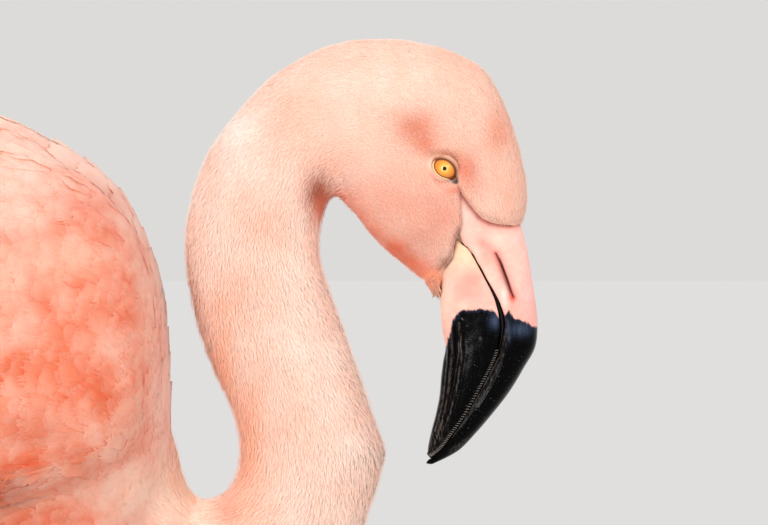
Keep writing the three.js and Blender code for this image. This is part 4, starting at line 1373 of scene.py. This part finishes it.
def mandible(name, rows, upper, node):
    # a hollow horn lofted from its rows, with its relief, its tones and painted glints along its ridges and
    # edges
    shape = billShape
    steps, sides = shape["steps"], shape["sides"]
    rowAt = np.linspace(0, len(rows) - 1, steps)
    at = curveThrough(rows)(rowAt)
    first, second = at[:, 0:2], at[:, 2:4]                      # upper: culmen, gape; lower: gape, keel
    edge, ridge = (second, first) if upper else (first, second)
    across = ridge - edge
    depth = np.linalg.norm(across, axis=1)
    away = across / depth[:, None]
    slit = billGap(edge[:, 1])
    turns = np.linspace(0, math.pi / 2, sides + 1)              # 0 on the ridge, a right angle at the edge
    lift = np.cos(turns) ** 0.85
    wide = np.sin(turns) ** shape["squareness"]
    closing = np.linspace(1, 0, 7)[1:]                          # inner face, from the edge to the middle
    ups = np.concatenate([lift, np.zeros(len(closing))])
    outs = np.concatenate([wide, closing])
    inner = np.concatenate([np.zeros(len(lift)), np.ones(len(closing))])
    lips = 1 - 0.035 * smoothStep(0.08, 0.0, ups)               # the edge turns in a little
    reach = slit[:, None] + (depth - slit)[:, None] * ups[None] + 0.4 * inner[None] * (1 - outs[None])
    side = edge[:, None, :] + away[:, None, :] * reach[..., None]
    out = at[:, 4][:, None] * (outs * lips)[None]
    left, right = (np.stack([side[..., 0], sign * out, side[..., 1]], axis=2) for sign in (1, -1))
    grid = np.concatenate([left, right[:, -2:0:-1]], axis=1)
    count = grid.shape[1]
    innerRing = np.concatenate([inner, inner[-2:0:-1]])
    flat = grid.reshape(-1, 3)
    if upper:
        face = np.repeat(smoothStep(shape["faceRows"] + 0.6, shape["faceRows"] - 1.0, rowAt), count)
        for i in np.nonzero((face > 0) & (np.tile(innerRing, steps) < 0.5))[0]:
            spot, n, _, _ = headTree.find_nearest(flat[i] * mm)
            target = (np.array(spot) - np.array(n) * shape["faceDepth"] * mm) / mm
            flat[i] = blend(flat[i], target, face[i])
    index = np.arange(steps * count).reshape(steps, count)
    a, b = index[:-1], index[1:]
    quads = np.stack([a, np.roll(a, -1, axis=1), np.roll(b, -1, axis=1), b], axis=2).reshape(-1, 4)
    if not upper:
        quads = quads[:, ::-1]
    ends = []
    for row, order in ((0, 1), (steps - 1, -1)):
        middle = len(flat)
        flat = np.vstack([flat, flat[index[row]].mean(axis=0)])
        ring = index[row][::order] if upper else index[row][::-order]
        ends += [(middle, ring[(i + 1) % count], ring[i]) for i in range(count)]
    triangles = np.vstack([quads[:, [0, 1, 2]], quads[:, [0, 2, 3]], np.array(ends)])
    innerAll = np.concatenate([np.tile(innerRing, steps), [0, 0]])

    x, z = flat[:, 0], flat[:, 2]
    a, b, c = (flat[triangles[:, i]] for i in range(3))
    normals = np.zeros_like(flat)
    for i in range(3):
        np.add.at(normals, triangles[:, i], np.cross(b - a, c - a))
    normals = unit(normals)
    sideways = smoothStep(0.1, 0.4, np.abs(normals[:, 1])) * (innerAll < 0.5)
    height = np.zeros(len(flat))
    if upper:
        toNostril, along = nearLine(x, z, nostrilLine)
        height -= 0.55 * fade(toNostril, 0.8) * smoothStep(0, 0.3, along)
        height += 0.25 * fade(toNostril - 1.8, 0.9)
        toSlit, along = nearLine(x, z, nostrilSlit)
        slitWidth = 0.35 + 0.65 * np.sin(np.pi * np.clip(along, 0.02, 0.98)) ** 0.7
        height -= 1.5 * fade(toSlit, 0.62 * slitWidth) * smoothStep(0, 0.15, along)
        height -= 0.5 * fade(nearLine(x, z, upperGroove)[0], 0.9)
        toRidge, _ = nearLine(x, z, upperRidge)
        height += 0.45 * fade(toRidge, 1.0) * smoothStep(552, 540, z)
        height += 0.12 * waves(flat * mm, 0.006, 31) * smoothStep(1, -1, insideLine(x, z, blackOutline))
    else:
        for line in lowerRidges:
            toLine, along = nearLine(x, z, line)
            height += 0.34 * fade(toLine, 0.7) * smoothStep(0, 0.12, along)
            height -= 0.2 * fade(toLine - 1.6, 0.8)
        height += 0.05 * waves(flat * mm, 0.007, 32)
    flat = flat + normals * (height * sideways)[:, None]

    tones = billTones
    tone = np.repeat(tones["pink"][None], len(flat), axis=0)
    if upper:
        tone = washed(tone, tones["face"], smoothStep(588, 604, z))
        tone = washed(tone, tones["rose"], 0.8 * fade(toNostril, 2.6))
        tone = washed(tone, tones["rose"], 0.45 * smoothStep(562, 549, z))
        tone = washed(tone, tones["cream"], 0.5 * fade(x - 281, 4) * smoothStep(575, 562, z))
        tone = washed(tone, tones["grey"], 0.85 * around(x, z, (272, 594), (5, 9)))
        tone = patched(tone, x, z, billPatches["upper"])
        tone = washed(tone, tones["nostril"], 0.7 * fade(toSlit, 1.1) * sideways)
        # painted shade deep in the nostril's slit
        tone = washed(tone, tones["mouthShade"], np.exp(-(toSlit / (0.8 * slitWidth)) ** 4) * sideways)
        # painted shadow in the crease under the forehead's rolled edge
        toCrease, _ = nearLine(x, z, faceCrease)
        tone = washed(tone, tones["creaseShadow"], 0.97 * fade(toCrease, 1.35))
        tone = washed(tone, tones["rose"], 0.4 * fade(toCrease, 3.0))
    else:
        tone = washed(tone, tones["cream"], 0.8 * smoothStep(268, 258, x) * smoothStep(545, 556, z))
        tone = washed(tone, tones["yellow"], 0.85 * smoothStep(562, 578, z))
        tone = washed(tone, tones["rose"], 0.5 * around(x, z, (272, 557), (9, 8)))
        tone = washed(tone, tones["rose"], 0.75 * smoothStep(266, 258, x) * smoothStep(548, 534, z))
        tone = patched(tone, x, z, billPatches["lower"])
        tone = washed(tone, tones["shadow"], 0.9 * fade(nearLine(x, z, cheekEdge)[0], 0.95))
    # the faces inside the slit painted near-black as the shade inside the mouth
    tone = washed(tone, tones["mouthShade"], innerAll)
    piece = makePiece(name, flat * mm, triangles, hornMaterial, tone)
    if upper:
        # painted glints: pale lines along the lips, the ridges and the culmen's edge, and a small spot on the
        # lower mandible
        toLip, toBack = nearLine(x, z, upperLip)[0], nearLine(x, z, upperBack)[0]
        ridgeGlint = fade(toLip, 0.5) + 0.45 * fade(toBack, 1.2) + 0.45 * fade(toRidge, 0.5)
    else:
        ridgeGlint = 0.15 * smoothStep(500, 486, z) + 0.7 * around(x, z, (278.2, 536.6), (0.8, 1.1))
        for line in lowerRidges:
            ridgeGlint = ridgeGlint + 0.6 * fade(nearLine(x, z, line)[0], 0.42)
        ridgeGlint = ridgeGlint + 0.22 * smoothStep(262.5, 259, x) * smoothStep(540, 530, z)
    # painted bluish sheen in spots near the black's upper edge
    blueSheen = 0.75 * around(x, z, (285.2, 544.8), (2.4, 3.2))
    blueSheen += 0.7 * around(x, z, (297.5, 541), (4.4, 3))
    blueSheen += 0.4 * around(x, z, (291.5, 541), (1.4, 5))
    tip = 0.5 + 0.09 * insideLine(x, z, blackOutline)
    for key, value in (("tip", tip), ("ridgeGlint", ridgeGlint * sideways), ("blueSheen", blueSheen)):
        layer = piece.data.attributes.new(key, "FLOAT", "POINT")
        layer.data.foreach_set("value", np.clip(value, 0, 2).astype(np.float32))
    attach(piece, "root")
    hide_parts(node)
    return piece, at


billUpper, _ = mandible("bill_upper_horn", billShape["upper"], True, "bill_upper")
billLower, lowerAt = mandible("bill_lower_horn", billShape["lower"], False, "bill_lower")


def mouthShadeCore():
    # a near-black core between the two mandibles: painted shade for the inside of the mouth
    sides = 16
    at = lowerAt[6:]
    turns = np.linspace(0, 2 * math.pi, sides, endpoint=False)
    down = unit(at[:, 2:4] - at[:, 0:2])
    half = billGap(at[:, 1]) + 1.2
    side = at[:, None, 0:2] + down[:, None] * (np.sin(turns)[None] * half[:, None])[..., None]
    out = np.cos(turns)[None] * (at[:, 4] * 0.86 - 0.3)[:, None]
    flat = np.stack([side[..., 0], out, side[..., 1]], axis=2).reshape(-1, 3)
    faces = ringGrid(len(at), sides, False)
    piece = makePiece("bill_inside_shade", flat * mm, faces, mouthShadeMaterial)
    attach(piece, "root")


mouthShadeMaterial, mouthTree, mouthShader = newMaterial("mouthShade", Roughness=0.5, Specular_IOR_Level=0.2)
mouthStops = [(0.3, colour("080505")), (0.7, colour("1c100f"))]
mouthShadeTone = rampOf(mouthTree, noiseOf(mouthTree, 500, 3.0), mouthStops)
mouthTree.links.new(mouthShadeTone, mouthShader.inputs["Base Color"])
mouthShadeCore()


def wedges(name, base, along, out, away, size, material, tone):
    # small tapered blocks in one mesh: size is length along, depth out and reach away, in mm
    corners = np.array([(i, j, k) for k in (0, 1) for j in (0, 1) for i in (-0.5, 0.5)], float)
    shrink = 1 - 0.55 * corners[:, 2]
    coords = (base[:, None] + along[:, None] * (corners[:, 0] * shrink * size[0])[None, :, None]
              + out[:, None] * (corners[:, 1] * shrink * size[1])[None, :, None]
              + away[:, None] * (corners[:, 2] * size[2])[None, :, None])
    box = np.array([(0, 2, 3, 1), (4, 5, 7, 6), (0, 1, 5, 4), (2, 6, 7, 3), (0, 4, 6, 2), (1, 3, 7, 5)])
    faces = (np.arange(len(base))[:, None, None] * 8 + box[None]).reshape(-1, 4)
    piece = makePiece(name, coords.reshape(-1, 3) * mm, faces, material, np.tile(tone, (len(base) * 8, 1)),
                      smooth=False)
    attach(piece, "root")
    return piece


combShape = {"count": 58, "from": 0.46, "to": 0.96, "tooth": (0.34, 0.9, 1.5), "tone": "6e645c"}
combMaterial, combTree, combShader = newMaterial("comb", Roughness=0.35, Coat_Weight=0.2)
combTone = darkened(combTree, paintedTone(combTree), noiseOf(combTree, 900, 3.0), 0.35, 0.65, 0.55)
combTree.links.new(combTone, combShader.inputs["Base Color"])
places = np.linspace(combShape["from"], combShape["to"], combShape["count"]) * (len(lowerAt) - 1)
toothAt = np.stack([np.interp(places, np.arange(len(lowerAt)), lowerAt[:, c]) for c in range(5)], axis=1)
toothAlong = unit(np.gradient(toothAt[:, 0:2], axis=0))
toothDown = unit(toothAt[:, 2:4] - toothAt[:, 0:2])
toothRoot = toothAt[:, 0:2] + toothDown * (billGap(toothAt[:, 1]) - 0.35)[:, None]
toothOut = toothAt[:, 4] * 0.972 - 0.15


def bothSides(flat, out):
    # rows of x and z on the left and then on the right side, out to each
    return np.concatenate([np.stack([flat[:, 0], sign * out, flat[:, 1]], axis=1) for sign in (1, -1)])


none, one = np.zeros(len(places)), np.ones(len(places))
comb = wedges("bill_comb", bothSides(toothRoot, toothOut), bothSides(toothAlong, none),
              bothSides(np.zeros_like(toothAlong), one), bothSides(toothDown, none), combShape["tooth"],
              combMaterial, colour(combShape["tone"]))
print("bill ready:", len(billUpper.data.polygons) + len(billLower.data.polygons), "triangles")


# eyes: a wet eyeball, a rim of bare lid and the dark front corner

eyeShape = {"pupil": 0.92, "bulge": 0.35, "rings": 64, "sides": 96}
eyeTones = coloursOf({
    "pupil": "020202", "inner": "f7cf6e", "iris": "f2ab42", "outer": "e98e34", "ring": "8f4212",
    "rim": "fbe0a8", "browShade": "6b3512", "corner": "3d332c", "flesh": "eaa888", "white": "cfc4b6",
})

eyeMaterial, eyeTree, eyeShader = newMaterial("eye", Roughness=0.12, Coat_Weight=0.3, Coat_Roughness=0.02,
                                              Specular_IOR_Level=0.2)
eyeTone = darkened(eyeTree, paintedTone(eyeTree), noiseOf(eyeTree, 1400, 3.0), 0.3, 0.65, 0.86)
eyeTree.links.new(eyeTone, eyeShader.inputs["Base Color"])
lidMaterial, lidTree, lidShader = newMaterial("lid", Roughness=0.5, Subsurface_Weight=0.15,
                                              Subsurface_Radius=(1, 0.4, 0.3), Subsurface_Scale=0.0015)
lidTone = darkened(lidTree, paintedTone(lidTree), noiseOf(lidTree, 1500, 3.0), 0.3, 0.6, 0.85)
lidTree.links.new(lidTone, lidShader.inputs["Base Color"])
bumpOf(lidTree, lidShader, noiseOf(lidTree, 1800, 2.0), 0.4, 0.2)


def eyeBall():
    # rings from the middle of the pupil to past the widest part
    shape = eyeShape
    (cx, cz), out, radius = eyePlace["at"], eyePlace["out"], eyePlace["radius"]
    angles = np.linspace(0, math.radians(118), shape["rings"] + 1)[1:]
    bearing = np.linspace(0, 2 * math.pi, shape["sides"], endpoint=False)
    r = radius * np.sin(angles)
    y = radius * np.cos(angles) + shape["bulge"] * smoothStep(4.2, 0.5, r) * (angles < math.pi / 2)
    r = r[:, None]
    ring = [cx + r * np.cos(bearing), out + y[:, None] + 0 * bearing, cz + r * np.sin(bearing)]
    ring = np.stack(ring, axis=2).reshape(-1, 3)
    flat = np.vstack([ring, [cx, out + radius + shape["bulge"], cz]])
    away = np.hypot(flat[:, 0] - cx, flat[:, 2] - cz)
    turn = np.arctan2(flat[:, 2] - cz, flat[:, 0] - cx)
    rng = np.random.default_rng(41)
    fibre = np.zeros(len(flat))
    for n in (23, 37, 61):
        fibre += np.sin(turn * n + rng.uniform(0, 6.28)) / 3
    tone = washed(eyeTones["inner"], eyeTones["iris"], smoothStep(1.0, 2.4, away))
    tone = washed(tone, eyeTones["outer"], smoothStep(2.2, 3.8, away))
    tone = tone * (1 + 0.07 * fibre * smoothStep(0.9, 1.6, away))[:, None]
    tone = washed(tone, eyeTones["ring"], smoothStep(3.55, 4.25, eyeDistance(flat[:, 0], flat[:, 2]) * 4.5))
    tone = washed(tone, eyeTones["pupil"], smoothStep(shape["pupil"] + 0.12, shape["pupil"] - 0.1, away))
    return flat, ringGrid(len(r), len(bearing), True), tone


def lidRing():
    # a soft rim round the opening that falls away to the skin, with a dark corner drawn out towards the bill
    (cx, cz), (halfA, halfB), tilt = eyePlace["at"], eyePlace["half"], math.radians(eyePlace["tilt"])
    sides, rows = 120, 22
    bearing = np.linspace(0, 2 * math.pi, sides, endpoint=False)
    share = np.linspace(0, 1, rows)
    u, w = np.cos(bearing) * halfA, np.sin(bearing) * halfB
    rimX = u * math.cos(tilt) - w * math.sin(tilt)
    rimZ = u * math.sin(tilt) + w * math.cos(tilt)
    toCorner = (np.degrees(np.arctan2(rimZ, rimX)) + 50 + 180) % 360 - 180     # degrees from the corner
    corner = fade(toCorner, 15)
    rimX, rimZ = rimX * (1 + 0.42 * corner), rimZ * (1 + 0.42 * corner)
    spread = 0.985 + 0.72 * share ** 1.2
    flat, tone = [], []
    tones = eyeTones
    above = smoothStep(-0.35, 0.25, np.sin(bearing + 0.1))
    # the lid's rim turns to painted shade of the brow on its upper side
    rimTone = washed(tones["rim"], tones["browShade"], above)
    for k, s in enumerate(share):
        x, z = cx + rimX * spread[k], cz + rimZ * spread[k]
        away = np.minimum(np.hypot(rimX, rimZ) * min(spread[k], 1.12), 6.0)
        ball = eyePlace["out"] + np.sqrt(np.maximum(eyePlace["radius"] ** 2 - away ** 2, 2.0))
        lid = ball - 0.25 + 0.75 * math.sin(math.pi * min(s / 0.16, 1.0) * 0.5)
        ground = []
        for px, pz in zip(x, z):
            hit = skinTree.ray_cast((px * mm, 0.06, pz * mm), (0, -1, 0))
            ground.append(hit[0].y / mm if hit[0] is not None else 20.0)
        ground = np.array(ground) + 0.12 - 0.9 * smoothStep(0.7, 1.0, s)
        y = blend(lid, ground, smoothStep(0.14, 0.75, s))
        far = np.hypot(x - cx, z - cz)
        over = eyePlace["out"] + np.sqrt(np.maximum(eyePlace["radius"] ** 2 - far ** 2, 0)) + 0.3
        y = np.where(far < eyePlace["radius"] * 0.995, np.maximum(y, over), y)
        y = y + 0.12 * np.sin(s * 34) * smoothStep(0.1, 0.3, s) * smoothStep(0.9, 0.6, s)
        flat.append(np.stack([x, y, z], axis=1))
        beside = np.stack([x, np.full(sides, 20.0), z], axis=1) * mm
        t = blend(tones["flesh"], plumageTone(beside, np.full(sides, 60.0)), smoothStep(0.2, 0.5, s))
        # painted shade below the brow, fading out away from the lid
        t = washed(t, tones["browShade"], above * 0.72 * smoothStep(0.72, 0.1, s))
        t = blend(t, rimTone, smoothStep(0.26, 0.16, s))
        t = washed(t, tones["corner"], np.clip(corner * 1.3, 0, 1) * smoothStep(0.45, 0.25, s))
        t = washed(t, tones["white"], fade(toCorner + 14, 7) * smoothStep(0.36, 0.2, s) * 0.9)
        tone.append(t)
    return np.concatenate(flat), ringGrid(rows, sides, False)[:, ::-1], np.concatenate(tone)


def eyePart(name, sign, part, material):
    # a part made for the left eye, turned over for the right one
    flat, faces, tone = part
    return makePiece(name, flat * mm * (1, sign, 1), faces[:, ::sign], material, tone)


ballShape, lidShape = eyeBall(), lidRing()
for sideName, sign in (("left", 1), ("right", -1)):
    ball = eyePart("eyeball_" + sideName, sign, ballShape, eyeMaterial)
    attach(ball, "root")
    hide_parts("eye_" + sideName)
    lids = eyePart("lids_" + sideName, sign, lidShape, lidMaterial)
    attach(lids, "root")
print("eyes ready")


# legs: scaled skin over shank, ankle, tarsus and foot, and the claws

legShell, clawShell = (1.3, 0.35, 8), (0.45, 0.05, 3)   # voxel, swell and softening
scuteHeight = 0.35
legTones = coloursOf({
    "shank": "e9b0a6", "ankle": "c9475a", "tarsus": "dfa79f", "foot": "cf5262", "grey": "b9a6a4",
    "claw": "2a2322", "clawRoot": "6d4a45",
})

legMaterial, legTree, legShader = newMaterial("leg", Roughness=0.55, Subsurface_Weight=0.08,
                                              Subsurface_Radius=(1, 0.4, 0.3), Subsurface_Scale=0.002,
                                              Coat_Weight=0.08, Coat_Roughness=0.4)
legTone = darkened(legTree, paintedTone(legTree), noiseOf(legTree, 170, 4.0, 0.6), 0.3, 0.7, 0.84)
place = addNode(legTree, "ShaderNodeTexCoord")
scales = addNode(legTree, "ShaderNodeTexVoronoi", Scale=420, feature="DISTANCE_TO_EDGE")
legTree.links.new(place.outputs["Object"], scales.inputs["Vector"])
scaleEdge = rampOf(legTree, scales.outputs["Distance"], [(0.0, grey(0.72)), (0.12, grey(1.0))])
legTree.links.new(multiplied(legTree, legTone, scaleEdge), legShader.inputs["Base Color"])
bumpOf(legTree, legShader, scaleEdge, 0.5, 0.3)

clawMaterial, clawTree, clawShader = newMaterial("claw", Roughness=0.3, Coat_Weight=0.2)
clawGrain = noiseOf(clawTree, 500, 4.0, 0.6, (0.4, 1, 1))
clawTone = darkened(clawTree, paintedTone(clawTree), clawGrain, 0.3, 0.7, 0.6)
clawTree.links.new(clawTone, clawShader.inputs["Base Color"])
bumpOf(clawTree, clawShader, noiseOf(clawTree, 900, 2.0, 0.5, (0.3, 1, 1)), 0.3, 0.2)

for sideName in ("left", "right"):
    nodes = [name + "_" + sideName for name in ("shank", "ankle", "tarsus", "foot")]
    limb = shellOf("leg_" + sideName, nodes, *legShell)
    spots, facing, _ = readMesh(limb.data)
    z = spots[:, 2] / mm
    front = smoothStep(0.1, 0.6, facing[:, 0])
    step = 3.1 + 0.8 * smoothStep(120, 20, z)                   # broad plates down the front
    plate = np.abs(np.sin(z / step * math.pi)) ** 0.35
    overSole = smoothStep(2.0, 6.0, z)
    lift = (plate - 0.8) * scuteHeight * front * overSole * smoothStep(8, 16, z)
    lift += 0.12 * waves(spots, 0.004, 51) * overSole
    spots = spots + facing * (lift * mm)[:, None]
    spots[:, 2] = np.maximum(spots[:, 2], 0)
    setPoints(limb.data, spots)
    tone = washed(legTones["tarsus"], legTones["shank"], smoothStep(255, 300, z))
    tone = washed(tone, legTones["ankle"], fade(z - 253, 24) * 0.9)
    tone = washed(tone, legTones["foot"], smoothStep(52, 16, z) * 0.9)
    tone = washed(tone, legTones["grey"], 0.35 * (0.5 + 0.5 * waves(spots, 0.03, 52)))
    finishShell(limb, tone * blend(1.0, 0.82 + 0.18 * plate, front)[:, None], legMaterial)
    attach(limb, "root")
    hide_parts(*nodes)
    for toe in ("inner", "middle", "outer", "hind"):
        node = "claw_" + toe + "_" + sideName
        horn = shellOf("horn_" + toe + "_" + sideName, [node], *clawShell)
        spots, _, _ = readMesh(horn.data)
        rootShare = smoothStep(2.0, 4.5, spots[:, 2] / mm)
        spots[:, 2] = np.maximum(spots[:, 2], 0)
        setPoints(horn.data, spots)
        finishShell(horn, washed(legTones["claw"], legTones["clawRoot"], rootShare), clawMaterial)
        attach(horn, "root")
        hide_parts(node)
print("legs ready:", len(limb.data.polygons), "faces each")
